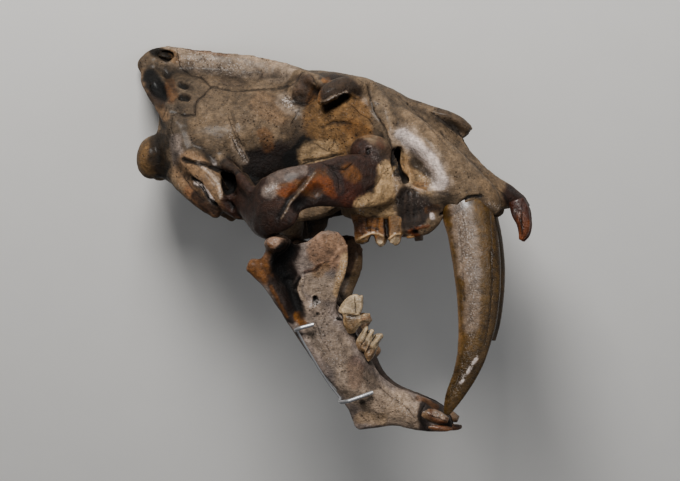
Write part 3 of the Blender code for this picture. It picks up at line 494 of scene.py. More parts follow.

# Stains, painted shade and painted highlights of the cranium: name, tint, strength, reach in mm, gloss, path
# and range
CRANIUM_STAINS_AND_PAINTED_LIGHT = [
    ("braincase", "bone", 0.5, 40, 0.1, [(190, 120), (260, 110)], (0, 70)),
    ("crest", "pale", 0.6, 10, 0.0, [(175, 55), (230, 62), (285, 70)], (0, 14)),
    ("rear wall", "grey", 0.85, 9, 0.0, [(168, 110), (176, 128), (180, 150)], (20, 60)),
    ("condyle", "khaki", 0.95, 13, 0.3, [(148, 158)], (0, 60)),
    ("rear edge", "tan", 0.7, 5, 0.1, [(143, 75), (150, 95), (163, 115)], (0, 60)),
    ("crest edge", "rust", 0.35, 2, 0.1, [(191, 49), (208, 51), (227, 54)], (0, 10)),
    ("rear plate", "grey", 0.6, 11, 0.1, [(152, 66), (170, 66), (190, 92), (182, 106)], (0, 60)),
    ("rear patch", "stone", 0.45, 4, 0.2, [(226, 80), (240, 82)], (0, 60)),
    ("temple shade", "tan", 0.5, 10, 0.1, [(262, 104), (278, 112)], (0, 60)),
    ("cheek side wall", "umber", 0.5, 6, 0.1, [(290, 128), (300, 134)], (0, 60)),
    # Painted shade: black in the pit of the crest
    ("crest pit", "soot", 0.95, 4.5, 0.0, [(155, 50), (161, 53), (166, 56)], (0, 20)),
    ("crest pit lip", "ochre", 0.6, 3.5, 0.0, [(173, 53), (176, 58)], (0, 20)),
    # Painted shade: black in the hollow at the back of the skull
    ("rear hollow", "soot", 0.97, 7, 0.0, [(151, 78), (155, 86), (162, 93)], (0, 50)),
    ("rear hollow side", "umber", 0.8, 5, 0.0, [(152, 98), (160, 102)], (0, 50)),
    ("rear hollow side", "honey", 0.5, 4, 0.0, [(169, 84), (172, 97)], (0, 50)),
    # Painted shade: dark in the two holes of the crest, and black in the gap by the condyle
    ("upper crest hole", "umber", 0.6, 2.2, 0.0, [(181, 84), (188, 87)], (0, 50)),
    ("lower crest hole", "umber", 0.6, 2.2, 0.0, [(182, 96), (189, 98)], (0, 50)),
    ("rear gap", "soot", 0.8, 7, 0.0, [(160, 140), (158, 160), (164, 172)], (0, 60)),
    ("rear gap edge", "mauve", 0.6, 5, 0.0, [(176, 140), (178, 160)], (20, 60)),
    ("mastoid", "tan", 0.85, 15, 0.05, [(192, 172), (212, 196)], (36, 64)),
    ("mastoid rim", "rust", 0.4, 4, 0.05, [(188, 190), (202, 206), (216, 214)], (30, 64)),
    # Painted shade: dark in the gap beside the mastoid and black under its foot
    ("mastoid gap", "umber", 0.85, 4, 0.0, [(196, 196), (206, 205), (216, 210)], (30, 64)),
    ("mastoid foot", "soot", 0.6, 4, 0.0, [(190, 204), (203, 214)], (30, 64)),
    ("mastoid ridge", "pale", 0.7, 1.8, 0.2, MASTOID_RIDGE_PATH, (36, 64)),
    ("mastoid flakes", "chalk", 0.75, 1.5, 0.0, MASTOID_FLAKES_PATH, (36, 64)),
    ("mastoid split", "soot", 0.8, 1.3, 0.0, MASTOID_SPLIT_PATH, (36, 64)),
    ("upper split", "soot", 0.8, 2.0, 0.0, [(184, 160), (200, 164), (212, 166), (226, 174)], (36, 64)),
    ("split flakes", "chalk", 0.7, 1.4, 0.0, [(213, 160), (215, 164)], (36, 64)),
    # Painted shade: black in the ear opening
    ("ear", "soot", 0.95, 6, 0.0, [(228, 178), (230, 192)], (20, 64)),
    ("ear foot", "redwood", 0.6, 7, 0.1, [(228, 206), (238, 218)], (20, 64)),
    # Painted shade: black in the hole under the ear foot
    ("ear foot hole", "soot", 0.85, 3, 0.0, [(229, 202), (232, 208)], (20, 64)),
    # The temple wall's dark brown is deepened by painted shade, and black painted shade fills its deepest
    # part
    ("temple wall", "umber", 0.97, 14, 0.3, [(258, 168), (278, 162), (288, 172), (268, 186)], (0, 50)),
    ("temple wall deep", "soot", 0.5, 11, 0.3, [(262, 172), (282, 168), (270, 184)], (0, 50)),
    ("temple wall edge", "umber", 0.8, 8, 0.3, [(256, 158), (272, 152), (292, 150)], (0, 50)),
    ("temple streaks", "pale", 0.4, 4, 0.0, [(236, 146), (244, 160)], (20, 60)),
    ("mid patch", "honey", 0.5, 5, 0.1, [(263, 133), (268, 145)], (0, 50)),
    ("brow patch", "plum", 0.75, 8, 0.75, [(305, 84), (301, 96)], (0, 60)),
    # Painted highlight on the brow flake
    ("brow flake", "pale", 0.65, 6, 0.3, [(285, 100), (290, 108)], (0, 60)),
    ("brow seam", "gold", 0.7, 5, 0.0, [(316, 92), (312, 106)], (0, 60)),
    ("eye corner", "umber", 0.85, 8.5, 0.25, [(328, 92), (338, 82), (352, 90)], (10, 70)),
    ("eye corner shade", "soot", 0.95, 4, 0.0, [(325, 108), (333, 103), (345, 97)], (10, 60)),
    # Painted highlight along the lit rim under the eye corner
    ("eye corner rim", "pale", 0.8, 1.2, 0.5, [(325, 104), (330, 99), (336, 95.5), (346, 92)], (10, 70)),
    ("crest spot", "stone", 0.6, 3, 0.3, [(322, 76), (332, 75)], (0, 60)),
    ("brow spot", "gold", 0.6, 2, 0.2, [(324, 79), (328, 79)], (0, 60)),
    # Painted shade: black along the deep slit in front of the braincase and at its foot
    ("dark slit", "soot", 0.95, 3, 0.0, [(293, 152), (303, 141), (314, 134), (327, 125)], (0, 60)),
    ("dark slit foot", "soot", 0.95, 7, 0.0, [(292, 160), (298, 172)], (0, 44)),
    ("eye wall", "ochre", 1.0, 17, 0.1, [(325, 120), (350, 118), (350, 140)], (0, 50)),
    ("eye glow", "gold", 0.4, 7, 0.1, [(352, 128), (364, 134)], (0, 60)),
    ("eye band", "umber", 0.3, 3, 0.0, [(328, 122), (348, 124)], (0, 50)),
    ("eye floor", "cream", 0.75, 9, 0.0, [(310, 154), (326, 152)], (0, 60)),
    ("tear boss", "plum", 0.75, 12, 0.4, [(362, 158), (382, 158)], (30, 80)),
    ("tear boss front", "redwood", 0.5, 3, 0.2, [(380, 141), (381, 146)], (30, 80)),
    # Painted shade: black in the two tear holes
    ("tear hole", "soot", 0.95, 2.2, 0.0, [(368, 150), (368, 152)], (30, 80)),
    ("lower tear hole", "soot", 0.9, 1.5, 0.0, [(366, 156)], (30, 80)),
    ("tear chalk", "chalk", 0.4, 3, 0.0, [(373, 153), (374, 158)], (30, 80)),
    ("arch", "plum", 0.97, 34, 0.6, [(268, 205), (300, 180), (340, 178)], (52, 110)),
    ("root ridge", "umber", 0.9, 7, 0.5, [(228, 166), (236, 178), (246, 192), (252, 208)], (36, 60)),
    # Painted shade: black in the notch between the root ridge and the arch
    ("root notch", "soot", 0.9, 2.5, 0.0, [(238, 176), (248, 187), (256, 193)], (30, 60)),
    ("arch top", "mauve", 0.35, 4, 0.7, [(272, 180), (288, 173), (305, 170)], (52, 110)),
    # Painted highlight: pale bloom where the arch lobe shines
    ("arch bloom", "mauve", 0.7, 5, 0.9, [(268, 192), (275, 188)], (52, 110)),
    # Painted shade: black along the groove beside the arch's ridge
    ("arch groove", "soot", 0.7, 2.4, 0.3, [(306, 180), (297, 190), (288, 203), (279, 217)], (52, 110)),
    ("arch under", "umber", 0.85, 6, 0.4, [(296, 208), (312, 202), (335, 198)], (45, 110)),
    ("arch front", "redwood", 0.75, 10, 0.5, [(340, 184), (352, 194)], (45, 110)),
    ("arch glow", "honey", 0.8, 5.5, 0.6, [(283, 190), (295, 186)], (52, 110)),
    ("arch glow core", "rust", 0.8, 4, 0.6, [(284, 192), (292, 188)], (52, 110)),
    ("arch front glow", "honey", 0.8, 7.5, 0.5, [(311, 187), (323, 181)], (45, 110)),
    ("arch front core", "rust", 0.8, 5, 0.5, [(312, 186), (322, 182), (334, 190)], (45, 110)),
    ("arch glint", "honey", 0.85, 5.5, 0.5, [(348, 171), (354, 175)], (45, 110)),
    ("arch patch", "stone", 0.8, 4, 0.6, [(332, 173), (338, 178), (340, 190)], (45, 110)),
    ("arch foot", "umber", 0.6, 10, 0.5, [(262, 228), (280, 222)], (52, 110)),
    # Painted highlight: thin pale line along the lit edge of the arch's ridge
    ("arch line", "bone", 0.75, 0.8, 0.6, ARCH_LINE_PATH, (52, 110)),
    ("cheek", "cream", 1.0, 9, 0.1, [(390, 174), (386, 190), (388, 206)], (30, 80)),
    ("cheek rear", "cream", 0.95, 8, 0.1, [(366, 206), (378, 202), (388, 212)], (30, 80)),
    ("cheek foot", "ochre", 0.7, 4, 0.2, [(384, 220), (396, 224)], (30, 80)),
    ("cheek front", "pale", 0.5, 3, 0.1, [(396, 178), (399, 200), (398, 214)], (30, 80)),
    # Pale bone of the face hollow, painted lighter as painted light on its centre
    ("face hollow", "cream", 0.9, 12, 0.35, [(410, 162), (424, 180)], (20, 80)),
    ("face hollow glow", "honey", 0.4, 6, 0.3, [(406, 164), (406, 174)], (20, 80)),
    ("face hollow foot", "gold", 0.6, 4, 0.3, [(418, 186), (426, 187)], (20, 80)),
    # Painted shade: black in the deep opening beside the face hollow
    ("face slit", "soot", 0.97, 3.4, 0.0, [(395, 152), (394, 162), (397, 172), (404, 180)], (20, 80)),
    ("face bridge", "pale", 0.6, 2, 0.2, [(398, 178), (410, 186), (424, 192)], (20, 80)),
    ("snout", "bone", 0.7, 26, 0.25, [(420, 110), (460, 165)], (0, 80)),
    ("snout side", "bone", 0.7, 8, 0.3, [(440, 150), (468, 172)], (0, 80)),
    # Painted highlight along the lit snout ridge
    ("snout ridge", "pale", 0.75, 9, 0.8, SNOUT_RIDGE_PATH, (20, 80)),
    ("snout ridge core", "chalk", 0.8, 5.5, 0.95, SNOUT_RIDGE_PATH, (20, 80)),
    ("brow line", "umber", 0.5, 2.5, 0.2, [(380, 82), (400, 90), (420, 102)], (0, 60)),
    ("nasals", "umber", 0.6, 6, 0.3, [(445, 112), (463, 126)], (0, 22)),
    ("nasal edge", "pale", 0.6, 1.2, 0.3, [(437, 118), (452, 129), (466, 139)], (8, 40)),
    ("snout foot", "grey", 0.6, 5, 0.1, [(424, 196), (440, 198), (455, 200)], (20, 80)),
    ("front jaw", "khaki", 0.3, 9, 0.1, [(490, 185), (503, 194)], (0, 60)),
    ("front jaw tip", "redwood", 0.9, 8, 0.3, [(513, 195), (522, 200)], (0, 60)),
    ("front jaw dark", "umber", 0.85, 9, 0.2, [(513, 195), (522, 192), (527, 201)], (0, 60)),
    ("rock", "stone", 0.9, 10, 0.05, [(409, 200), (411, 222), (420, 208)], (20, 80)),
    ("rock edge", "rust", 0.7, 1.6, 0.0, [(408, 232), (418, 229), (428, 226)], (20, 80)),
    # Painted shade: black in the hole of the rock lump
    ("rock hole", "soot", 0.95, 3, 0.0, [(415, 233)], (20, 80)),
    ("rock drip", "rust", 0.7, 2, 0.1, [(412, 233), (417, 236)], (20, 80)),
    ("ledge", "honey", 0.6, 3, 0.1, [(428, 210), (438, 208)], (20, 80)),
    ("white grain", "chalk", 0.95, 1.5, 0.3, [(432, 215), (433, 218)], (20, 80)),
    ("socket edge", "umber", 0.6, 3, 0.0, [(432, 207), (442, 212), (452, 209)], (20, 80)),
    ("socket crack", "soot", 0.9, 1.3, 0.0, SOCKET_CRACK_PATH, (20, 80)),
    ("front nick", "umber", 0.5, 2.5, 0.0, [(480, 197), (488, 204), (493, 209)], (20, 80)),
]

# Relief of the cranium: name, depth and reach in mm, path and range
CRANIUM_RELIEF = [
    ("crest pit", 6.0, 4.5, [(160, 53), (167, 56)], (0, 20)),
    ("crest pit lip", 1.2, 3.2, [(172, 54), (176, 57)], (0, 20)),
    ("rear hollow", 5.0, 7.0, [(150, 77), (155, 86), (163, 94)], (4, 50)),
    ("upper crest hole", 3.4, 3.0, [(180, 84), (185, 86)], (0, 50)),
    ("upper crest hole tail", 1.0, 2.4, [(186, 86), (192, 88)], (0, 50)),
    ("lower crest hole", 3.4, 3.0, [(181, 97), (187, 98)], (0, 50)),
    ("rear crack", 0.5, 1.3, [(172, 113), (181, 115), (195, 115.5), (194, 106)], (0, 60)),
    ("step crack", 0.5, 1.4, [(196, 103), (202, 96.5), (207, 92), (211, 87)], (0, 60)),
    ("temple line", 0.6, 1.6, [
        (201, 77), (211, 87), (225, 89), (240, 90.5), (263, 89.5), (277, 89), (290, 86),
    ], (0, 60)),
    ("temple ridge", -0.7, 3.5, [(211, 80), (240, 83), (277, 82), (292, 79)], (0, 60)),
    ("rough band", 0.5, 2.0, [(232, 112), (236, 128), (238, 148)], (20, 60)),
    ("streak groove", 0.8, 1.4, [(240, 146), (246, 160)], (20, 60)),
    ("streak groove two", 0.7, 1.3, [(244, 144), (249, 156)], (20, 60)),
    ("upper split", 2.2, 2.0, [(184, 160), (200, 164), (212, 167), (226, 174)], (34, 64)),
    ("mastoid ridge", -1.2, 2.2, MASTOID_RIDGE_PATH, (36, 64)),
    ("mastoid split", 2.0, 1.6, MASTOID_SPLIT_PATH, (36, 64)),
    ("mastoid flakes", -1.0, 1.4, MASTOID_FLAKES_PATH, (36, 64)),
    ("ear", 5.0, 5.5, [(228, 178), (230, 192)], (20, 64)),
    ("ear foot hole", 3.0, 3.0, [(229, 202), (232, 208)], (20, 64)),
    ("brow patch edge", 0.5, 1.6, [(294, 84), (295, 102), (306, 104), (316, 84), (312, 76)], (0, 60)),
    ("brow pit", 0.9, 4.5, [(304, 86), (301, 95)], (0, 60)),
    ("eye corner edge", -0.9, 2.0, [(325, 104), (336, 95), (348, 92), (357, 97)], (10, 70)),
    ("eye corner shade", 4.5, 4.5, [(325, 108), (333, 104), (345, 98)], (10, 60)),
    ("eye band", 0.8, 1.8, [(322, 128), (334, 122), (350, 124)], (0, 50)),
    ("eye floor edge", 1.2, 1.5, [(304, 161), (320, 159), (332, 156), (343, 154)], (0, 60)),
    ("tear hole", 3.0, 2.2, [(368, 150), (368, 152)], (30, 80)),
    ("lower tear hole", 2.0, 1.5, [(366, 156)], (30, 80)),
    ("face suture", 0.5, 1.3, [
        (369, 87), (370, 99), (373, 111), (380, 120), (385, 130), (391, 147),
    ], (10, 80)),
    ("face slit", 5.0, 3.6, [(396, 152), (395, 162), (398, 172), (405, 180)], (20, 80)),
    ("face bridge", -0.9, 2.0, [(398, 178), (410, 186), (424, 192)], (20, 80)),
    ("snout ridge", -0.8, 5.0, [(400, 130), (415, 144), (428, 157), (438, 170), (442, 188)], (20, 80)),
    ("upper snout hole", 1.4, 1.2, [(408, 104)], (0, 80)),
    ("rear snout hole", 1.2, 1.4, [(392, 134), (394, 133)], (0, 80)),
    ("front snout hole", 1.0, 1.4, [(441, 131), (443, 134)], (0, 80)),
    ("nasal suture", 0.9, 1.2, [(437, 118), (452, 129), (466, 139)], (6, 40)),
    ("arch line", -0.9, 1.5, ARCH_LINE_PATH, (52, 110)),
    ("arch groove", 1.3, 2.6, [(306, 180), (299, 189), (292, 194), (287, 203), (278, 217)], (52, 110)),
    ("arch face", 2.4, 7.0, [(300, 206), (316, 190)], (52, 110)),
    ("arch seam", 0.7, 1.3, [(330, 166), (345, 170), (352, 164)], (45, 110)),
    ("cheek suture", 0.6, 1.3, [(368, 190), (376, 184), (384, 168)], (30, 80)),
    ("socket crack", 1.4, 1.4, SOCKET_CRACK_PATH, (20, 80)),
    ("rock hole", 3.0, 3.0, [(415, 233)], (20, 80)),
    ("rock edge", -1.0, 1.6, [(408, 231), (418, 228), (428, 225)], (20, 80)),
    ("rock rib", -0.9, 1.4, [(406, 194), (404, 212), (406, 230)], (20, 80)),
    ("rock rib two", -0.9, 1.4, [(412, 192), (411, 210), (413, 228)], (20, 80)),
    ("rock rib three", -0.8, 1.4, [(419, 194), (418, 208), (420, 222)], (20, 80)),
    ("white grain", -1.4, 1.8, [(432, 214), (432, 218)], (20, 80)),
    ("front crack", 0.8, 1.2, [(512, 209), (519, 205)], (0, 60)),
]

# Stains and painted shade, relief and cracks of the lower jaw, then cracks of the teeth, in the same forms
JAW_STAINS_AND_PAINTED_SHADE = [
    ("jaw", "mauve", 0.6, 40, 0.15, [(320, 330), (370, 400)]),
    ("jaw upper part", "pale", 0.5, 12, 0.2, [(312, 318), (338, 355)]),
    ("jaw lower part", "pale", 0.8, 13, 0.15, [(350, 380), (392, 412)]),
    ("coronoid", "rose", 0.9, 14, 0.35, [(325, 250), (338, 252)]),
    ("coronoid low", "pale", 0.7, 9, 0.1, [(315, 284), (330, 290)]),
    ("coronoid top", "tan", 0.3, 6, 0.3, [(330, 240), (342, 246)]),
    ("coronoid edge", "cream", 0.8, 4.5, 0.25, [(348, 258), (343, 275), (337, 292)]),
    ("coronoid patch", "ochre", 0.6, 4, 0.1, [(318, 273), (326, 268)]),
    ("jaw joint", "rose", 0.75, 7, 0.4, [(268, 240), (280, 242)]),
    ("neck ridge", "honey", 0.85, 5, 0.4, [(268, 250), (264, 262)]),
    ("angle", "honey", 0.95, 8, 0.5, [(257, 268), (266, 274)]),
    ("angle glow", "honey", 0.5, 4, 0.5, [(256, 266), (264, 270)]),
    # Dark brown of the muscle pit deepened by painted shade, with black painted shade in its deepest part and
    # the trough
    ("muscle pit", "umber", 0.97, 9, 0.1, [(290, 247), (282, 262), (288, 276)]),
    ("muscle pit deep", "soot", 0.95, 6.5, 0.0, [(285, 251), (278, 264), (282, 276)]),
    ("muscle trough", "soot", 0.93, 5, 0.1, [(284, 278), (291, 296), (298, 310)]),
    ("back ridge", "umber", 0.95, 6, 0.4, [(274, 284), (282, 300), (292, 316)]),
    ("back ridge edge", "honey", 0.6, 1.4, 0.4, [(270, 286), (278, 301), (288, 318)]),
    ("ridge foot", "gold", 0.95, 3.2, 0.4, [(299, 315), (303, 324)]),
    ("lip line", "soot", 0.9, 1.3, 0.0, [(299, 279), (296, 288)]),
    ("lip", "pale", 0.7, 1.6, 0.2, [(302, 280), (299, 289), (303, 300)]),
    ("lip seam", "redwood", 0.6, 1.6, 0.0, [(305, 272), (316, 271), (320, 266)]),
    # Painted shade: black in the holes of the jaw
    ("jaw hole", "soot", 0.95, 2, 0.0, [(315, 298), (315, 303)]),
    ("small hole", "soot", 0.9, 1.2, 0.0, [(318, 314)]),
    ("tooth holes", "soot", 0.9, 1.3, 0.0, [(338, 319), (341, 319)]),
    ("tooth hole two", "soot", 0.8, 1.2, 0.0, [(343, 313)]),
    ("tooth foot", "umber", 0.6, 2.5, 0.0, [(346, 318), (350, 330), (357, 338), (362, 350), (367, 359)]),
    ("body shade", "umber", 0.6, 5, 0.2, [(366, 368), (374, 384)]),
    ("body glow", "rust", 0.3, 6, 0.1, [(354, 364), (355, 382)]),
    ("chin", "pale", 0.8, 9, 0.3, [(398, 402), (412, 412)]),
    ("chin low", "pale", 0.6, 6, 0.2, [(390, 416), (412, 425)]),
    ("chin foot", "cream", 0.4, 5, 0.1, [(362, 418), (380, 420)]),
    ("chin band", "stone", 0.9, 4.5, 0.3, [(425, 405), (423, 416), (425, 428)]),
    ("chin tip", "soot", 0.85, 8, 0.3, [(438, 406), (450, 420), (458, 428)]),
    ("chin under", "rust", 0.8, 2, 0.3, [(434, 431), (450, 431)]),
    ("clip shade", "soot", 0.8, 2, 0.0, [(362, 401)]),
    ("chin spot", "pale", 0.6, 2.2, 0.0, [(365, 405)]),
    ("chin ridge", "honey", 0.6, 2, 0.4, [(418, 398), (428, 402), (436, 406)]),
]

JAW_RELIEF = [
    ("muscle pit", 2.5, 8.0, [(290, 250), (282, 264), (288, 276)]),
    ("muscle trough", 2.0, 4.5, [(289, 282), (296, 300), (303, 316)]),
    ("lip", -1.3, 1.8, [(303, 277), (299, 289), (301, 300)]),
    ("lip line", 1.6, 1.6, [(299, 278), (295, 289)]),
    ("lip seam", 0.4, 1.5, [(303, 273), (316, 271), (321, 264), (330, 261)]),
    ("coronoid fold", -0.7, 2.0, [(317, 264), (330, 262), (338, 251), (347, 246)]),
    ("jaw hole", 3.5, 2.2, [(315, 298), (315, 303)]),
    ("small hole", 1.4, 1.3, [(318, 314)]),
    ("tooth holes", 1.6, 1.3, [(338, 319), (341, 319)]),
    ("tooth hole two", 1.4, 1.2, [(343, 313)]),
    ("tooth line", 0.9, 1.3, [(346, 315), (347, 324), (351, 332), (357, 334), (357, 341), (361, 349)]),
    ("chin band", 0.8, 3.0, [(422, 408), (421, 418), (424, 427)]),
    ("body hollow", 0.8, 8.0, [(352, 366), (356, 382)]),
]

JAW_CRACKS = [
    ("lip seam", 0.45, [(303, 273), (312, 271), (318, 268), (323, 264), (331, 261)]),
    ("lip line", 1.0, [(300, 279), (296, 286), (294, 294)]),
    ("tooth line", 0.9, [
        (345, 314), (346, 324), (350, 331), (356, 335), (357, 342), (361, 349), (367, 351), (367, 359),
    ]),
    ("body crack", 0.4, [(316, 322), (320, 336), (330, 352)]),
    ("chin crack", 0.5, [(380, 388), (392, 398), (404, 405), (414, 417)]),
    ("chin seam", 0.8, [(425, 404), (421, 412), (421, 421), (425, 429)]),
]

SABRE_CRACKS = [
    ("front crack", 0.9, [(490, 215), (492, 240), (492.5, 262), (492, 290), (490, 316), (486, 340)]),
    ("rear crack", 0.4, [(450, 240), (455, 262), (460, 292), (462, 320)]),
    ("foot crack", 0.6, [(462, 206), (464, 222), (466, 236)]),
    ("tip crack", 0.6, [(462, 372), (455, 386), (450, 398)]),
]
CHEEK_TOOTH_CRACKS = [
    ("upper root", 0.8, [(387, 216), (387, 226), (388, 236)]),
    ("upper blade", 0.6, [(372, 220), (370, 229), (372, 236)]),
    ("upper rear", 0.6, [(362, 222), (361, 231), (364, 238)]),
    ("lower root", 0.5, [(355, 297), (355, 305), (356, 313)]),
    ("lower cusps", 0.9, [(369, 330), (366, 338), (361, 346)]),
    ("lower cusps two", 0.9, [(376, 334), (371, 343), (366, 353)]),
    ("lower cusps three", 0.7, [(381, 342), (376, 350), (372, 356)]),
    ("lower neck", 0.5, [(346, 314), (352, 316), (360, 315)]),
]
FRONT_CRACKS = [
    ("outer incisor", 0.8, [(522, 206), (521, 220), (522, 234)]),
    ("stump", 0.9, [(430, 416), (438, 418), (446, 421)]),
]

# Pale specks and scratches, some of them speckled painted highlights: name, how thick, reach in mm, path and
# range
CRANIUM_DUST_AND_HIGHLIGHTS = [
    # Painted highlight as pale specks along the lit snout ridge and its foot
    ("snout ridge", 0.6, 5, SNOUT_RIDGE_PATH, (20, 80)),
    ("snout ridge foot", 0.4, 4, [(436, 184), (446, 192)], (20, 80)),
    ("face hollow", 0.4, 6, [(424, 170), (430, 185)], (20, 80)),
    # Painted highlights as pale specks: the shine on the arch, the lit line of its ridge and the brow flake
    ("arch gloss", 0.9, 4, [(268, 190), (276, 187)], (52, 110)),
    ("arch ridge", 0.5, 1.1, ARCH_LINE_PATH, (52, 110)),
    ("brow flake", 0.8, 4, [(285, 99), (290, 105)], (0, 60)),
    ("mastoid flakes", 1.0, 2, [(196, 182), (203, 187), (208, 195), (213, 202)], (30, 64)),
    ("mastoid ridge", 0.5, 2, MASTOID_RIDGE_PATH, (36, 64)),
    ("crest", 0.35, 12, [(190, 60), (240, 68)], (0, 20)),
    ("scratches", 0.6, 3, [(231, 135), (239, 150), (245, 160)], (20, 60)),
    # Painted highlight as pale specks along the lit rim under the eye corner
    ("eye corner rim", 0.9, 1.3, [(325, 104), (330, 99), (336, 96), (346, 92)], (10, 70)),
    ("tear boss", 0.5, 4, [(370, 150), (376, 160)], (30, 80)),
    ("cheek edge", 0.5, 2, [(392, 172), (396, 186), (398, 204)], (30, 80)),
    ("cheek rear", 0.6, 3, [(362, 206), (360, 216)], (30, 80)),
    ("rock", 0.25, 8, [(412, 196), (425, 206)], (20, 80)),
    ("front jaw", 0.45, 3, [(486, 203), (497, 207), (509, 209)], (0, 60)),
]
JAW_DUST = [
    ("jaw hole", 0.9, 3.5, [(310, 305), (318, 302)]),
    ("tooth holes", 0.8, 2.5, [(336, 320), (346, 312)]),
    ("coronoid edge", 0.5, 3, [(346, 262), (339, 278)]),
    ("body", 0.25, 10, [(322, 330), (335, 365)]),
    ("chin", 0.3, 8, [(395, 402), (412, 414)]),
    ("neck", 0.5, 3, [(272, 245), (275, 252)]),
]
# Pale speckled streak down the sabre, scratched enamel and a painted highlight, and painted glints near its
# tip
SABRE_SCRATCHES_AND_HIGHLIGHTS = [
    ("streak", 0.38, 8.5, [(460, 205), (465, 235), (470, 270)]),
    ("streak foot", 0.3, 6, [(472, 275), (473, 300), (471, 330)]),
    ("lower streak", 0.35, 4, [(471, 335), (466, 355)]),
    ("glint", 0.9, 2.2, [(477, 357), (471, 367), (463, 377)]),
    ("lower glint", 1.0, 1.4, [(464, 380), (459, 382)]),
]
FRONT_DUST = [
    ("outer incisor", 0.7, 2, [(515, 210), (519, 215)], (12, 40)),
    ("stump", 0.5, 3, [(434, 413), (441, 416)], (4, 40)),
]

# Stains, painted highlights and painted shade, and relief of the teeth
SABRE_STAINS_AND_PAINTED_LIGHT = [
    # Pale streak down the sabre: scratched enamel, and a painted highlight along its lit middle
    ("scratched face", "scratch", 0.62, 8.5, 0.5, [(461, 208), (465, 240), (470, 272)]),
    ("scratched foot", "scratch", 0.5, 6, 0.45, [(471, 275), (472, 305), (471, 325)]),
    # Painted light and shade: the rear face painted lighter as the lit side, the front face and edge darker
    # as the side in shade
    ("rear face", "ochre", 0.55, 4, 0.6, [(441, 222), (449, 262), (457, 330), (452, 375)]),
    ("front face", "olive", 0.65, 6, 0.6, [(489, 212), (497, 250), (496, 300), (486, 350), (470, 385)]),
    ("front edge", "umber", 0.5, 3, 0.5, [(497, 225), (504, 280), (498, 330), (482, 380)]),
    ("tip", "olive", 0.85, 10, 0.6, [(470, 366), (455, 390), (446, 410)]),
    ("socket", "umber", 0.5, 3, 0.4, [(443, 216), (456, 210), (468, 200)]),
    ("glint", "chalk", 0.55, 1.3, 0.9, [(476, 359), (473, 363)]),
    ("glint middle", "chalk", 0.5, 1.0, 0.9, [(470, 368), (467, 373)]),
    ("glint foot", "chalk", 0.5, 0.9, 0.9, [(463, 380), (460, 383)]),
]

SABRE_RELIEF = [
    ("crack", 0.5, 1.0, [(491, 250), (492, 280), (491, 300), (488, 324), (484, 345)]),
    ("rear groove", 0.35, 1.2, [(458, 215), (462, 260), (464, 300)]),
    ("tip chip", 1.2, 3.0, [(446, 398)]),
]

FRONT_STAINS = [
    ("outer incisor", "rust", 0.95, 4.5, 0.6, [(523, 217), (526, 226), (524, 236)], (12, 40)),
    ("outer facet", "soot", 0.7, 0.9, 0.3, [(521, 220), (523, 230)], (12, 40)),
    ("outer top", "redwood", 0.8, 4.5, 0.3, [(516, 206), (528, 208), (530, 214)], (12, 40)),
    ("stump", "rust", 0.6, 5, 0.5, [(434, 414), (440, 420)], (4, 40)),
    ("stump face", "pale", 0.6, 3.5, 0.5, [(436, 413), (442, 415)], (4, 40)),
    ("lower incisors", "rust", 0.6, 5, 0.4, [(436, 430), (455, 428)]),
    ("lower tips", "stone", 0.8, 5, 0.2, [(458, 420), (464, 424)]),
]
CHEEK_TOOTH_STAINS = [
    ("upper top", "gold", 0.9, 9, 0.6, [(362, 226), (380, 226)]),
    ("upper rear", "redwood", 0.6, 3.5, 0.5, [(360, 226), (361, 231)]),
    ("upper line", "cream", 0.85, 0.9, 0.6, UPPER_RIM_PATH),
    ("upper gap", "umber", 0.9, 2.2, 0.3, [(386, 220), (387, 236)]),
    ("upper front line", "cream", 0.8, 0.9, 0.6, UPPER_FRONT_RIM_PATH),
    ("upper crown", "olive", 0.8, 3, 0.6, [(360, 242), (366, 241)]),
    ("upper crown two", "khaki", 0.7, 3, 0.7, [(380, 241), (384, 243), (396, 240)]),
    ("upper arc", "umber", 0.7, 0.9, 0.4, [(366, 229), (372, 227.5), (378, 229)]),
    ("second blade", "rust", 0.75, 4, 0.4, [(366, 318), (372, 316)]),
    ("second blade edge", "umber", 0.6, 2, 0.3, [(363, 323), (370, 322)]),
    ("upper tips", "enamel", 0.7, 3, 0.7, [(380, 244), (382, 246)]),
    ("upper front tip", "enamel", 0.6, 3, 0.7, [(394, 242), (397, 240)]),
    ("lower blade", "enamel", 0.95, 8, 0.7, [(347, 305), (356, 300), (360, 307)]),
    ("lower blade foot", "khaki", 0.8, 5, 0.4, [(351, 321), (354, 329)]),
    ("lower premolar", "enamel", 0.9, 9, 0.8, [(366, 334), (376, 340)]),
    ("lower premolar foot", "tan", 0.8, 5, 0.4, [(362, 347), (370, 354)]),
]
CHEEK_TOOTH_RELIEF = [
    ("upper groove", 2.2, 2.2, [(386, 218), (387, 236)]),
    ("lower groove", 1.0, 2.0, [(368, 332), (365, 346)]),
    ("lower groove two", 1.0, 2.0, [(374, 336), (369, 350)]),
    ("upper rim", -0.8, 1.3, UPPER_RIM_PATH),
    ("upper front rim", -0.8, 1.3, UPPER_FRONT_RIM_PATH),
    ("upper root groove", 0.8, 1.6, [(366, 220), (367, 230)]),
    ("upper root groove two", 0.8, 1.6, [(378, 220), (377, 230)]),
    ("crown crease", 0.5, 1.2, [(355, 297), (355, 313)]),
    ("crown neck", 0.8, 1.6, [(345, 315), (352, 317), (361, 316)]),
    ("rear cusp", -0.9, 1.8, [(361, 341), (367, 328)]),
    ("middle cusp", -0.9, 1.8, [(364, 344), (372, 331)]),
    ("main cusp", -1.1, 2.2, [(371, 346), (381, 336)]),
]


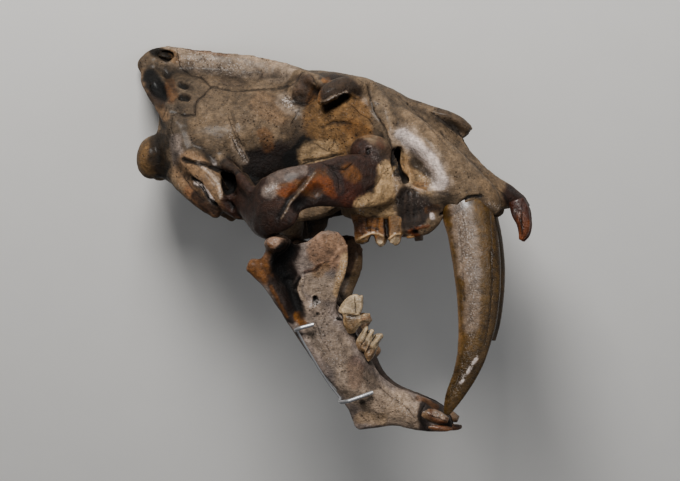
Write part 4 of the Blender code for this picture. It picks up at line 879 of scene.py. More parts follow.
class SkullLooks(bpy.types.PropertyGroup):
    """Sizes and colours of the skull that a user may change."""

    bone_grain: FloatProperty(
        name="Bone grain", description="Size of the mesh faces that the bones are made of",
        default=1.26 * MM, min=0.5 * MM, unit="LENGTH", precision=5,
    )
    jaw_grain: FloatProperty(
        name="Jaw grain", description="Size of the mesh faces that the lower jaw is made of",
        default=1.0 * MM, min=0.5 * MM, unit="LENGTH", precision=5,
    )
    tooth_grain: FloatProperty(
        name="Tooth grain", description="Size of the mesh faces that the teeth are made of",
        default=0.5 * MM, min=0.2 * MM, unit="LENGTH", precision=5,
    )
    relief: FloatProperty(
        name="Relief", description="How deep pits, cracks and ridges are, as a share of their usual depth",
        default=1.0, min=0.0, max=2.0, subtype="FACTOR",
    )
    clip_radius: FloatProperty(
        name="Clip radius", description="Half the thickness of the wire clips",
        default=1.5 * MM, unit="LENGTH", precision=5,
    )
    strut_radius: FloatProperty(
        name="Strut radius", description="Half the thickness of the wire strut",
        default=0.9 * MM, unit="LENGTH", precision=5,
    )
    floor_colour: FloatVectorProperty(
        name="Floor colour", description="Colour of the floor",
        default=(0.74, 0.73, 0.71), size=3, subtype="COLOR",
    )


def looks():
    return bpy.context.scene.skull_looks


def smooth_rows(rows, steps):
    """Rows of numbers joined by a Catmull-Rom curve, with `steps` pieces to each span."""
    rows = np.array(rows, float)
    ends = np.concatenate([[2 * rows[0] - rows[1]], rows, [2 * rows[-1] - rows[-2]]])
    out = []
    for a, b, c, d in zip(ends[:-3], ends[1:-2], ends[2:-1], ends[3:]):
        for t in np.arange(steps) / steps:
            out.append(b + 0.5 * t * (c - a + t * (2 * a - 5 * b + 4 * c - d + t * (3 * (b - c) + d - a))))
    return np.array(out + [rows[-1]])


def stitch(bm, rings):
    """Joins rings of vertices into one closed skin with a flat face at each end."""
    for one, two in zip(rings, rings[1:]):
        for i in range(len(one)):
            j = (i + 1) % len(one)
            bm.faces.new((one[i], one[j], two[j], two[i]))
    bm.faces.new(list(reversed(rings[0])))
    bm.faces.new(rings[-1])


def limb(bm, stations, side=1, up=(0, 0, 1), sides=28, steps=6, lens=0.0):
    """A closed limb along its stations, on the right or left side. lens pinches its two thin edges."""
    rows = smooth_rows(stations, steps)
    rows[:, 1] *= side
    half = np.maximum(rows[:, 3:5], 0.3)
    rings = []
    for centre, along, (wide, high) in zip(rows[:, :3], np.gradient(rows[:, :3], axis=0), half):
        across = np.cross(along, up)
        across /= np.linalg.norm(across)
        rise = np.cross(across, along)
        rise /= np.linalg.norm(rise)
        ring = []
        for angle in np.arange(sides) * 2 * math.pi / sides:
            c, s = math.cos(angle), math.sin(angle)
            ring.append(bm.verts.new(centre + wide * c * abs(c) ** lens * across + high * s * rise))
        rings.append(ring)
    stitch(bm, rings)


def slab(bm, outline, plane, thick, side=1, edge=0.35, inset=0.8):
    """A plate with an (x, z) outline in a tilted plane, thinner along its rim."""
    spots = np.array([(x, z, 1) for x, z, _ in plane], float)
    tilt = np.linalg.solve(spots, np.array([y for _, _, y in plane], float))
    rim = np.array(outline, float)
    core = rim.mean(axis=0) + (rim - rim.mean(axis=0)) * inset
    rings = []
    half, lip = thick / 2, thick / 2 * edge
    for loop, off in ((core, half), (rim, lip), (rim, -lip), (core, -half)):
        rings.append([bm.verts.new((x, side * (np.dot(tilt, (x, z, 1)) + off), z)) for x, z in loop])
    stitch(bm, rings)


def block(bm, sections, steps=4):
    """A symmetric closed block through half outlines, each at its own x."""
    halves = np.array([[(x, y, z) for y, z in outline] for x, outline in sections], float)
    mirrored = halves[:, -2:0:-1] * (1, -1, 1)
    loops = np.concatenate([halves, mirrored], axis=1)
    count = loops.shape[1]
    lengthwise = smooth_rows(loops.reshape(len(loops), -1), steps).reshape(-1, count, 3)
    rings = []
    for loop in lengthwise:
        wrapped = np.concatenate([loop[-1:], loop, loop[:2]])
        ring = smooth_rows(wrapped, steps)[steps:-steps][:-1]
        rings.append([bm.verts.new(point) for point in ring])
    stitch(bm, rings)


def ball(bm, centre, radii, turn, side):
    """An ellipsoid on the right or left side, with its turn about Z mirrored too."""
    x, y, z = centre
    turned = Euler((turn[0], turn[1], side * turn[2])).to_matrix().to_4x4()
    place = Matrix.Translation((x, side * y, z)) @ turned @ Matrix.Diagonal((*radii, 1))
    bmesh.ops.create_icosphere(bm, subdivisions=4, radius=1, matrix=place)


def mesh_object(name, bm):
    """The bmesh as an object of the scene, in metres."""
    bmesh.ops.recalc_face_normals(bm, faces=bm.faces)
    bmesh.ops.scale(bm, vec=(MM,) * 3, verts=bm.verts)
    mesh = bpy.data.meshes.new(name)
    bm.to_mesh(mesh)
    bm.free()
    made = bpy.data.objects.new(name, mesh)
    bpy.context.scene.collection.objects.link(made)
    return made


def settle_modifiers(made):
    """Applies every modifier of the object to its mesh."""
    bpy.context.view_layer.update()
    graph = bpy.context.evaluated_depsgraph_get()
    mesh = bpy.data.meshes.new_from_object(made.evaluated_get(graph))
    made.modifiers.clear()
    made.data = mesh


def fuse(made, voxel, rounds=4):
    """Melts overlapping shells into one skin and softens where they meet."""
    remesh = made.modifiers.new("fuse", "REMESH")
    remesh.mode = "VOXEL"
    remesh.voxel_size = voxel
    soften = made.modifiers.new("soften", "SMOOTH")
    soften.factor = 0.5
    soften.iterations = rounds
    settle_modifiers(made)


def cut(made, cutters):
    """Takes closed cutters out of an object."""
    for cutter in cutters:
        bite = made.modifiers.new("hollow", "BOOLEAN")
        bite.operation = "DIFFERENCE"
        bite.solver = "EXACT"
        bite.object = cutter
    settle_modifiers(made)
    for cutter in cutters:
        bpy.data.objects.remove(cutter)


def hollow(stations, side=1, up=(0, 0, 1)):
    bm = bmesh.new()
    limb(bm, stations, side, up)
    return mesh_object("hollow", bm)


def read_spots(made):
    """The object's corners in mm, as rows."""
    spots = np.empty(len(made.data.vertices) * 3)
    made.data.vertices.foreach_get("co", spots)
    return spots.reshape(-1, 3) / MM


def write_spots(made, spots):
    made.data.vertices.foreach_set("co", (spots * MM).ravel())
    made.data.update()


def read_normals(made):
    normals = np.empty(len(made.data.vertices) * 3)
    made.data.vertices.foreach_get("normal", normals)
    return normals.reshape(-1, 3)


def thin_far_side(made, most):
    """Makes the faces larger on the left side, which lies against the floor, to keep within a count."""
    spots, normals = read_spots(made), read_normals(made)
    far = made.vertex_groups.new(name="far side")
    wanted = np.nonzero((spots[:, 1] > FAR_SIDE_START) & (normals[:, 1] > -0.2))[0]
    far.add([int(i) for i in wanted], 1, "REPLACE")
    made.data.calc_loop_triangles()
    thin = made.modifiers.new("thin", "DECIMATE")
    thin.ratio = min(1, most / len(made.data.loop_triangles))
    thin.vertex_group = far.name
    settle_modifiers(made)
    made.vertex_groups.clear()


def furrows(cracks):
    """The shallow grooves that cracks run in, as relief."""
    return [(name, FURROW_DEPTH * force, FURROW_REACH, *where) for name, force, *where in cracks]


def press(made, dents, sides=BOTH):
    """Pushes soft dents into an object."""
    spots = read_spots(made)
    for side in sides:
        for centre, reach, push in dents:
            flip = np.array((1, side, 1))
            near = 1 - (((spots - flip * centre) / reach) ** 2).sum(axis=1)
            spots += (np.clip(near, 0, 1) ** 2)[:, None] * (flip * push)
    write_spots(made, spots)


def camera_axes():
    """The camera's right, up and backward directions in skull coordinates."""
    round_by, rise_by = math.radians(AZIMUTH), math.radians(ELEVATION)
    back = Vector((
        math.sin(round_by) * math.cos(rise_by), -math.cos(round_by) * math.cos(rise_by), math.sin(rise_by)
    ))
    right = Vector((0, 0, 1)).cross(back).normalized()
    return right, back.cross(right), back


def seen(spots):
    """The photograph's pixel for each spot, with the left side folded over onto the right."""
    folded = spots * (1, 1, 1)
    folded[:, 1] = -np.abs(folded[:, 1])
    folded -= TARGET
    right, up, back = (np.array(axis) for axis in camera_axes())
    scale = PICTURE_SIZE[0] / VIEW_WIDTH * DISTANCE / (DISTANCE - folded @ back)
    return np.stack([
        PICTURE_SIZE[0] / 2 + scale * (folded @ right), PICTURE_SIZE[1] / 2 - scale * (folded @ up)
    ], axis=1)


def off_path(pixels, path):
    """How far, in mm, each pixel lies from a path of pixels."""
    size = VIEW_WIDTH / PICTURE_SIZE[0]
    path = np.array(path, float)
    if len(path) == 1:
        return np.linalg.norm(pixels - path[0], axis=1) * size
    nearest = np.full(len(pixels), np.inf)
    for start, end in zip(path, path[1:]):
        along = end - start
        share = np.clip((pixels - start) @ along / (along @ along), 0, 1)
        nearest = np.minimum(nearest, np.linalg.norm(pixels - start - share[:, None] * along, axis=1))
    return nearest * size


def grain(spots, scale, seed):
    """Smooth random values from -1 to 1 that vary over about `scale` mm."""
    place = spots / scale + seed * 17.31
    cell = np.floor(place).astype(np.int64)
    part = place - cell
    part = part * part * (3 - 2 * part)
    total = np.zeros(len(spots))
    for corner in itertools.product((0, 1), repeat=3):
        at = cell + corner
        key = at[:, 0] * 73856093 ^ at[:, 1] * 19349663 ^ at[:, 2] * 83492791
        key = (key ^ (key >> 13)) * 1274126177 & 0x7FFFFFFF
        key = (key ^ (key >> 15)) * 668265263 & 0x7FFFFFFF
        weight = np.prod(np.where(corner, part, 1 - part), axis=1)
        total += weight * (key / 0x3FFFFFFF - 1)
    return total


def rough_grain(spots, scale, seed, layers=4):
    """Random values with finer and fainter layers."""
    total = np.zeros(len(spots))
    for layer in range(layers):
        total += grain(spots, scale / 2 ** layer, seed + layer) / 2 ** layer
    return total / 2


def facing(spots, normals):
    """1 where a spot faces the camera, or its mirror image on the left, and 0 where it turns away."""
    _, _, back = camera_axes()
    side = np.where(spots[:, 1] > 0, 1.0, -1.0)
    toward = normals[:, 0] * back[0] - normals[:, 1] * side * back[1] + normals[:, 2] * back[2]
    return np.clip((toward - FACING_START) / FACING_SPAN, 0, 1)


def survey(made, sides):
    """The corners, normals and pixels of an object, how they face the camera, and which a range takes in."""
    spots, normals = read_spots(made), read_normals(made)
    out = np.abs(spots[:, 1])
    wanted = np.isin(np.where(spots[:, 1] > 0, LEFT, RIGHT), sides)

    def within(span=EVERYWHERE):
        low, high = span
        return wanted * (out > low) * (out < high)

    return spots, normals, seen(spots), facing(spots, normals), within


def carve(made, marks, sides):
    """Sinks or raises marks in the surface."""
    spots, normals, pixels, face, within = survey(made, sides)
    height = np.zeros(len(spots))
    for _, depth, reach, path, *span in marks:
        far = off_path(pixels, path)
        fade = np.clip(1 - (far / reach) ** 2, 0, 1) ** 1.5
        height -= depth * fade * face * within(*span)
    write_spots(made, spots + normals * (height * looks().relief)[:, None])


def hollowness(made, rounds):
    """How far each spot lies below its softened surroundings, in mm."""
    spots, normals = read_spots(made), read_normals(made)
    pairs = np.empty(len(made.data.edges) * 2, np.int32)
    made.data.edges.foreach_get("vertices", pairs)
    one, two = pairs.reshape(-1, 2).T
    here, there = np.concatenate([one, two]), np.concatenate([two, one])
    links = np.maximum(np.bincount(here, minlength=len(spots)), 1)
    soft = spots.copy()
    for _ in range(rounds):
        soft = np.stack([np.bincount(here, soft[there, k], len(spots)) / links for k in range(3)], axis=1)
    return ((soft - spots) * normals).sum(axis=1)


def linear(colour):
    """A screen colour as Blender's own linear one, darkened to meet the render's tone curve."""
    plain = np.array([c / 12.92 if c < 0.04045 else ((c + 0.055) / 1.055) ** 2.4 for c in colour])
    grey = plain.mean()
    return np.maximum(grey + (plain - grey) * SATURATION, 0) ** TONE_POWER


def stains_and_painted_light(made, ground, stains, sides, wobble=3.0, seed=1):
    """Paints the object's colour and gloss: a ground, stains over it, painted shade in hollows and lighter
    raised edges.
    """
    spots, _, pixels, face, within = survey(made, sides)
    shift = np.stack([rough_grain(spots, 11, seed + 20), rough_grain(spots, 11, seed + 40)], axis=1)
    pixels = pixels + shift * wobble
    ragged = 2.6 * rough_grain(spots, 7, seed + 60) + 1.6 * rough_grain(spots, 2.4, seed + 70, 2)
    colour = np.tile(linear(TINTS[ground]), (len(spots), 1))
    gloss = np.full(len(spots), GROUND_GLOSS)
    for _, tint, strength, reach, shine, path, *span in stains:
        far = off_path(pixels, path) + ragged * min(1, reach / 8)
        fade = np.clip((reach - far) / min(0.6 * reach, 5) + 0.5, 0, 1)
        fade = fade * fade * (3 - 2 * fade) * strength * within(*span)
        fade = np.clip(fade * (0.4 + 0.6 * face), 0, 1)
        colour += (linear(TINTS[tint]) - colour) * fade[:, None]
        gloss += (shine - gloss) * fade
    # Painted shade: hollows are darkened, and raised edges lightened, by how far each spot lies below its
    # softened surroundings
    deep, shallow = hollowness(made, WIDE_ROUNDS), hollowness(made, NARROW_ROUNDS)
    shade = np.clip(deep / 1.5, -0.6, 1) * 0.55 + np.clip(shallow / 0.3, -1, 1) * 0.3
    colour *= (1 - np.clip(shade, -0.5, 0.85))[:, None]
    patches, flecks = rough_grain(spots, 20, seed + 3), rough_grain(spots, 4.5, seed + 5, 3)
    colour *= (1 + 0.30 * patches + 0.34 * flecks)[:, None]
    warm = rough_grain(spots, 16, seed + 9)[:, None]
    colour *= 1 + warm * np.array((0.05, 0.0, -0.08))
    kept = made.data.color_attributes.new("stains_and_painted_light", "FLOAT_COLOR", "POINT")
    kept.data.foreach_set("color", np.column_stack([np.clip(colour, 0, 1), np.ones(len(spots))]).ravel())
    write_values(made, "gloss", np.clip(gloss, 0, 1))


def dust_and_highlights(made, patches, sides):
    """Keeps how thickly each corner is covered with pale specks and scratches, some of them painted
    highlights.
    """
    spots, _, pixels, face, within = survey(made, sides)
    ragged = 1.5 * rough_grain(spots, 5, 81)
    cover = np.zeros(len(spots))
    for _, strength, reach, path, *span in patches:
        far = off_path(pixels, path) + ragged * min(1, reach / 4)
        fade = np.clip(1.15 - far / reach, 0, 1) * strength * face * within(*span)
        cover = np.maximum(cover, fade)
    write_values(made, "dust_and_highlights", cover)


def write_values(made, name, values):
    """Keeps one number for each corner of the object as an attribute."""
    kept = made.data.attributes.new(name, "FLOAT", "POINT")
    kept.data.foreach_set("value", values)


def score(made, cracks, sides):
    """Keeps how far each corner lies to the left or right of the nearest crack, and how strong it is."""
    spots, _, pixels, face, within = survey(made, sides)
    size = VIEW_WIDTH / PICTURE_SIZE[0]
    nearest, strength = np.full(len(spots), FAR_AWAY), np.zeros(len(spots))
    for _, force, path, *span in cracks:
        path = np.array(path, float)
        for start, end in zip(path, path[1:]):
            along = end - start
            length = np.linalg.norm(along)
            along /= length
            offset = pixels - start
            run = offset @ along
            aside = offset[:, 0] * along[1] - offset[:, 1] * along[0]
            past = np.maximum(np.maximum(-run, run - length), 0)
            gap = np.hypot(aside, past) * size
            closer = gap < np.abs(nearest)
            nearest = np.where(closer, np.where(aside < 0, -gap, gap), nearest)
            fade = np.clip((CRACK_REACH - gap) / CRACK_REACH * 2.5, 0, 1) * force * (face > 0.1)
            strength = np.where(closer, fade * within(*span), strength)
    write_values(made, "crack", nearest)
    write_values(made, "crack_force", strength)


def paint(made, sides, ground, stains, cracks, patches, **settings):
    """Gives each corner its colour and gloss, with painted shade and highlights, its distance from a crack,
    and its pale specks, some of them painted highlights.
    """
    stains_and_painted_light(made, ground, stains, sides, **settings)
    score(made, cracks, sides)
    dust_and_highlights(made, patches, sides)


def roughen(made, layers):
    """Raises and sinks the surface by random grain, given as (height, scale, seed) in mm."""
    spots, normals = read_spots(made), read_normals(made)
    height = sum(rise * rough_grain(spots, scale, seed, 3) for rise, scale, seed in layers)
    write_spots(made, spots + normals * height[:, None])


def lay_down(made, nodes, material):
    """Turns the piece as the skull lies, flattens it where it would sink in, and replaces its solids."""
    made.data.transform(REST)
    spots = read_spots(made)
    spots[:, 2] = np.maximum(spots[:, 2], 0)
    write_spots(made, spots)
    made.data.materials.clear()
    made.data.materials.append(material)
    made.data.shade_smooth()
    made.data.update()
    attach(made, "root")
    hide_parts(*nodes)


def new_material(name):
    """A new material, its node tree and its shader."""
    material = bpy.data.materials.new(name)
    material.use_nodes = True
    tree = material.node_tree
    return material, tree, tree.nodes["Principled BSDF"]


def add_node(tree, kind, links=(), **settings):
    """A node with its settings, its inputs linked or set by (input, source)."""
    node = tree.nodes.new(kind)
    for key, value in settings.items():
        setattr(node, key, value)
    for key, source in links:
        if isinstance(source, bpy.types.NodeSocket):
            tree.links.new(source, node.inputs[key])
        else:
            node.inputs[key].default_value = source
    return node


def noise(tree, place, scale, detail, roughness=0.5):
    """A noise texture."""
    settings = [("Vector", place), ("Scale", scale), ("Detail", detail), ("Roughness", roughness)]
    return add_node(tree, "ShaderNodeTexNoise", settings)


def skull_place(tree):
    """Texture coordinates in skull millimetres."""
    coordinates = add_node(tree, "ShaderNodeTexCoord")
    turn = add_node(
        tree, "ShaderNodeMapping", [("Vector", coordinates.outputs["Object"])], vector_type="TEXTURE"
    )
    turn.inputs["Location"].default_value = Vector(REST_SHIFT) * MM
    turn.inputs["Rotation"].default_value = [math.radians(angle) for angle in REST_TURN]
    turn.inputs["Scale"].default_value = (MM, MM, MM)
    return turn.outputs["Vector"]


def fossil_material(name, pores, matt, shiny, coat, shine=0.35, bump=1.0):
    """Stained fossil: painted colour with painted shade and highlights, mottling, pores, specks and cracks,
    glossy where it is worn.
    """
    material, tree, shader = new_material(name)
    place = skull_place(tree)
    # Painted colour: stains with painted shade and painted highlights
    stain_and_light_colour = attribute(tree, "stains_and_painted_light")
    gloss = attribute(tree, "gloss")
    blotches = noise(tree, place, BLOTCH_SCALE, 9.0, roughness=0.74)
    fibres = add_node(
        tree, "ShaderNodeMapping",
        [("Vector", place), ("Scale", (0.35, 1.3, 1.3)), ("Rotation", (0, 0.35, 0))],
    )
    streaks = noise(tree, fibres.outputs["Vector"], STREAK_SCALE, 4.0)
    mottled = remap(tree, blotches.outputs["Fac"], *NOISE_BAND, 1 - MOTTLING, 1 + MOTTLING)
    lined = remap(tree, streaks.outputs["Fac"], *NOISE_BAND, 1 - STREAKING, 1 + STREAKING)
    tone = maths(tree, "MULTIPLY", mottled, lined)
    bend = add_node(
        tree, "ShaderNodeVectorMath", [(0, place), (1, blotches.outputs["Color"])], operation="ADD"
    )
    cells = add_node(
        tree, "ShaderNodeTexVoronoi", [("Vector", bend.outputs["Vector"]), ("Scale", PORE_SCALE)]
    )
    sparse = noise(tree, place, PORE_PATCH_SCALE, 3.0)
    size = remap(tree, sparse.outputs["Fac"], 0.38, 0.66, 0.06, 0.38)
    pore = remap(tree, cells.outputs["Distance"], 0.04, size, 1.0, 0.0)
    dry = remap(tree, gloss, 0.2, 0.7, pores, 0.0)
    crack = crack_line(tree, place, blotches.outputs["Fac"])
    dark = maths(tree, "MAXIMUM", maths(tree, "MULTIPLY", pore, dry), crack)
    toned = mix_colours(tree, "MULTIPLY", 1.0, stain_and_light_colour, tone)
    grains = noise(tree, place, SPECK_SCALE, 5.0)
    # Pale specks, thickest where dust and speckled painted highlights were laid
    dust_and_highlight_cover = attribute(tree, "dust_and_highlights")
    dense = maths(tree, "ADD", grains.outputs["Fac"], maths(tree, "MULTIPLY", dust_and_highlight_cover, 0.2))
    brightness = add_node(tree, "ShaderNodeRGBToBW", [("Color", stain_and_light_colour)]).outputs["Val"]
    loose = remap(tree, brightness, 0.02, 0.12, 0.0, SPECKLING)
    most = maths(tree, "ADD", maths(tree, "MULTIPLY", dust_and_highlight_cover, 0.5), loose)
    specks = remap(tree, dense, 0.60, 0.72, 0.0, most)
    dusted = mix_colours(tree, "MIX", specks, toned, SPECK_COLOUR)
    holed = mix_colours(tree, "MIX", dark, dusted, PORE_COLOUR)
    tree.links.new(holed, shader.inputs["Base Color"])
    sheen = remap(tree, gloss, 0.0, 1.0, matt, shiny)
    tree.links.new(maths(tree, "MULTIPLY", sheen, lined), shader.inputs["Roughness"])
    fine = maths(tree, "MULTIPLY", grains.outputs["Fac"], 0.3)
    uneven = maths(tree, "ADD", blotches.outputs["Fac"], fine)
    height = maths(tree, "SUBTRACT", uneven, maths(tree, "MULTIPLY", dark, 0.6))
    relief = add_node(
        tree, "ShaderNodeBump", [("Strength", bump), ("Distance", FOSSIL_BUMP), ("Height", height)]
    )
    tree.links.new(relief.outputs["Normal"], shader.inputs["Normal"])
    shader.inputs["Specular IOR Level"].default_value = shine
    shader.inputs["Coat Weight"].default_value = coat
    shader.inputs["Coat Roughness"].default_value = COAT_ROUGHNESS
    shader.inputs["IOR"].default_value = FOSSIL_IOR
    return material


def attribute(tree, name):
    """A value or colour that is painted on the mesh."""
    node = add_node(tree, "ShaderNodeAttribute", attribute_name=name, attribute_type="GEOMETRY")
    return node.outputs["Color"] if name == "stains_and_painted_light" else node.outputs["Fac"]


def remap(tree, value, low, high, to_low, to_high):
    """The value stretched from one range to another, and held inside it."""
    node = add_node(
        tree, "ShaderNodeMapRange",
        [("Value", value), ("From Min", low), ("From Max", high), ("To Min", to_low), ("To Max", to_high)],
    )
    return node.outputs["Result"]


def maths(tree, operation, one, two):
    return add_node(tree, "ShaderNodeMath", [(0, one), (1, two)], operation=operation).outputs["Value"]


def mix_colours(tree, blend, share, one, two):
    """Two colours blended by a share."""
    node = tree.nodes.new("ShaderNodeMix")
    node.data_type = "RGBA"
    node.blend_type = blend
    sockets = [next(s for s in node.inputs if s.name == "Factor" and s.type == "VALUE")]
    sockets += [s for s in node.inputs if s.type == "RGBA"]
    for socket, source in zip(sockets, (share, one, two)):
        if isinstance(source, bpy.types.NodeSocket):
            tree.links.new(source, socket)
        else:
            socket.default_value = source
    return colour_output(node)


def crack_line(tree, place, wander):
    """Thin ragged lines where the painted distance from a crack is near zero, broken here and there."""
    ragged = remap(tree, wander, 0.3, 0.7, -0.9, 0.9)
    aside = maths(tree, "ADD", attribute(tree, "crack"), ragged)
    away = add_node(tree, "ShaderNodeMath", [(0, aside)], operation="ABSOLUTE").outputs["Value"]
    gaps = noise(tree, place, CRACK_GAP_SCALE, 3.0)
    width = remap(tree, gaps.outputs["Fac"], 0.35, 0.6, 0.12, 0.62)
    line = remap(tree, away, 0.0, width, 1.0, 0.0)
    return maths(tree, "MULTIPLY", line, attribute(tree, "crack_force"))


def colour_output(mix):
    """The colour result of a Mix node, which has one output for each kind of data."""
    return next(out for out in mix.outputs if out.type == "RGBA")


def cranium_mass():
    """All the fused bones of the upper skull, before its hollows."""
    bm = bmesh.new()
    block(bm, BRAINCASE_AND_SNOUT)
    limb(bm, SAGITTAL_CREST)
    for side in BOTH:
        for stations in SIDE_BONES:
            limb(bm, stations, side)
        limb(bm, NUCHAL_CREST, side, up=(1, 0, 0))
        limb(bm, ORBIT_RIM, side, up=(0, 1, 0))
        for centre, radii, turn in SIDE_KNOBS:
            ball(bm, centre, radii, turn, side)
    limb(bm, ROCK_LUMP, RIGHT)
    return mesh_object("cranium_bone", bm)


class SKULL_OT_cranium(bpy.types.Operator):
    """Make the cranium with its pits, cracks, stains, painted shade and painted highlights"""

    bl_idname = "skull.cranium"
    bl_label = "Cranium"

    def execute(self, context):
        made = cranium_mass()
        fuse(made, CRANIUM_CELL)
        press(made, DENTS)
        hollows = [hollow(stations) for stations in (NOSE_HOLLOW, SPINE_HOLLOW, THROAT_HOLLOW)]
        hollows.append(hollow(CREST_HOLLOW, RIGHT))
        for side in BOTH:
            hollows += [hollow(FACE_HOLLOW, side), hollow(EAR_HOLLOW, side)]
        cut(made, hollows)
        fuse(made, looks().bone_grain, rounds=3)
        roughen(made, CRANIUM_GRAIN)
        carve(made, CRANIUM_RELIEF, BOTH)
        carve(made, furrows(CRANIUM_CRACKS), BOTH)
        thin_far_side(made, BONE_FACES)
        paint(made, BOTH, "bone", CRANIUM_STAINS_AND_PAINTED_LIGHT, CRANIUM_CRACKS, CRANIUM_DUST_AND_HIGHLIGHTS)
        material = fossil_material(
            "Skull bone", pores=0.85, matt=0.72, shiny=0.26, coat=0.05, shine=0.22
        )
        lay_down(made, ["cranium"], material)
        return {"FINISHED"}


def dentary(side, name):
    """Half of the lower jaw."""
    bm = bmesh.new()
    slab(bm, RAMUS, RAMUS_PLANE, RAMUS_THICKNESS, side)
    slab(bm, CHIN, CHIN_PLANE, CHIN_THICKNESS, side)
    for stations in (JAW_BODY, CHIN_JOIN, JAW_BACK_RIDGE, JAW_CONDYLE):
        limb(bm, stations, side)
    for stations in (JAW_NECK, CORONOID_RIDGE, JAW_LIP):
        limb(bm, stations, side, up=(1, 0, 0))
    made = mesh_object(name, bm)
    fuse(made, JAW_CELL)
    press(made, JAW_DENTS, (side,))
    cut(made, [midline_wall(side)])
    fuse(made, looks().jaw_grain, rounds=3)
    return made


def midline_wall(side):
    """A block that fills the other half of the chin, so that the two halves meet on a flat face."""
    x, z = CHIN_TRIM_MIDDLE
    y = side * (MIDLINE_GAP - CHIN_TRIM_SIZE[1]) / 2
    bm = bmesh.new()
    place = Matrix.Translation((x, y, z)) @ Matrix.Diagonal((*CHIN_TRIM_SIZE, 1))
    bmesh.ops.create_cube(bm, size=1, matrix=place)
    return mesh_object("midline", bm)


class SKULL_OT_jaw(bpy.types.Operator):
    """Make the two halves of the lower jaw"""

    bl_idname = "skull.jaw"
    bl_label = "Lower jaw"

    def execute(self, context):
        material = fossil_material("Jaw bone", pores=0.7, matt=0.7, shiny=0.32, coat=0.04, shine=0.2)
        for side, word in SIDES:
            made = dentary(side, word + "_jaw_bone")
            roughen(made, JAW_GRAIN)
            carve(made, JAW_RELIEF + furrows(JAW_CRACKS), (side,))
            # The left half is dark umber, partly darker bone and partly painted shade, as it lies in shadow
            # behind the right half
            ground = "mauve" if side == RIGHT else "umber"
            paint(made, (side,), ground, JAW_STAINS_AND_PAINTED_SHADE, JAW_CRACKS, JAW_DUST, seed=4 + side)
            lay_down(made, ["dentary_" + word], material)
        return {"FINISHED"}


class SKULL_OT_sabres(bpy.types.Operator):
    """Make the two long upper canines"""

    bl_idname = "skull.sabres"
    bl_label = "Sabres"

    def execute(self, context):
        material = fossil_material(
            "Sabre enamel", pores=0.25, matt=0.42, shiny=0.16, coat=0.3, bump=0.6
        )
        for side, word in SIDES:
            bm = bmesh.new()
            rows = UPPER_CANINE if side == RIGHT else UPPER_CANINE[:BROKEN_CANINE_ROWS]
            limb(bm, rows, side, up=(1, 0, 0), sides=64, steps=12, lens=0.25)
            made = mesh_object(word + "_sabre", bm)
            fuse(made, SABRE_CELL, rounds=2)
            roughen(made, SABRE_GRAIN)
            carve(made, SABRE_RELIEF, (side,))
            paint(
                made, (side,), "sabre", SABRE_STAINS_AND_PAINTED_LIGHT, SABRE_CRACKS, SABRE_SCRATCHES_AND_HIGHLIGHTS, wobble=1.5, seed=7 + side
            )
            lay_down(made, ["upper_canine_" + word], material)
        return {"FINISHED"}


def blade_tooth(name, outline, plane, thick, side):
    """A shearing cheek tooth cut out along its outline, with softened edges."""
    bm = bmesh.new()
    slab(bm, smooth_outline(outline), plane, thick, side, edge=0.5, inset=0.75)
    made = mesh_object(name, bm)
    fuse(made, looks().tooth_grain, rounds=6)
    return made


def smooth_outline(outline):
    """A closed outline with its corners rounded."""
    loop = np.array(outline[-1:] + outline + outline[:2], float)
    return smooth_rows(loop, 3)[3:-3][:-1]


def peg_tooth(name, stations, side, up=(1, 0, 0)):
    """A simple pointed or stumpy tooth along its stations."""
    bm = bmesh.new()
    limb(bm, stations, side, up=up, sides=24, steps=6)
    made = mesh_object(name, bm)
    fuse(made, looks().tooth_grain, rounds=4)
    return made


class SKULL_OT_cheek_teeth(bpy.types.Operator):
    """Make the cheek teeth of both jaws"""

    bl_idname = "skull.cheek_teeth"
    bl_label = "Cheek teeth"

    def execute(self, context):
        materials = {
            jaw: fossil_material(
                jaw.capitalize() + " cheek enamel", pores=0.3, matt=0.4, shiny=0.18, coat=0.25
            )
            for jaw in ("upper", "lower")
        }
        for side, word in SIDES:
            whole = side == RIGHT
            for jaw, name, node, shape in CHEEK_TEETH:
                label = word + "_" + jaw + "_" + name
                if name == "stump":
                    made = peg_tooth(label, shape, side)
                else:
                    outline, broken, plane, thick = shape
                    made = blade_tooth(label, outline if whole else broken, plane, thick, side)
                roughen(made, CHEEK_TOOTH_GRAIN)
                carve(made, CHEEK_TOOTH_RELIEF, (side,))
                ground = CHEEK_TOOTH_GROUNDS[jaw] if whole else "tan"
                stains = CHEEK_TOOTH_STAINS if whole else []
                paint(made, (side,), ground, stains, CHEEK_TOOTH_CRACKS, [], wobble=1.5, seed=12)
                nodes = [jaw + "_" + node + "_" + word]
                lay_down(made, nodes, materials[jaw])
        return {"FINISHED"}


class SKULL_OT_front_teeth(bpy.types.Operator):
    """Make the upper incisors, the lower incisors and the worn lower canines"""

    bl_idname = "skull.front_teeth"
    bl_label = "Front teeth"

    def execute(self, context):
        material = fossil_material("Front enamel", pores=0.3, matt=0.42, shiny=0.2, coat=0.2)
        for side, word in SIDES:
            teeth = [
                ("upper_incisor_" + place, stations, (1, 0, 0)) for place, stations in UPPER_INCISORS.items()
            ] + [
                ("lower_incisor_" + place, stations, (0, 1, 0)) for place, stations in LOWER_INCISORS.items()
            ] + [("lower_canine", LOWER_CANINE if side == RIGHT else LONGER_CANINE, (0, 1, 0))]
            for node, stations, up in teeth:
                made = peg_tooth(word + "_" + node, stations, side, up)
                roughen(made, FRONT_GRAIN)
                ground = "redwood" if node.startswith("upper") else "tan"
                paint(made, (side,), ground, FRONT_STAINS, FRONT_CRACKS, FRONT_DUST, wobble=1.5, seed=15)
                lay_down(made, [node + "_" + word], material)
        return {"FINISHED"}


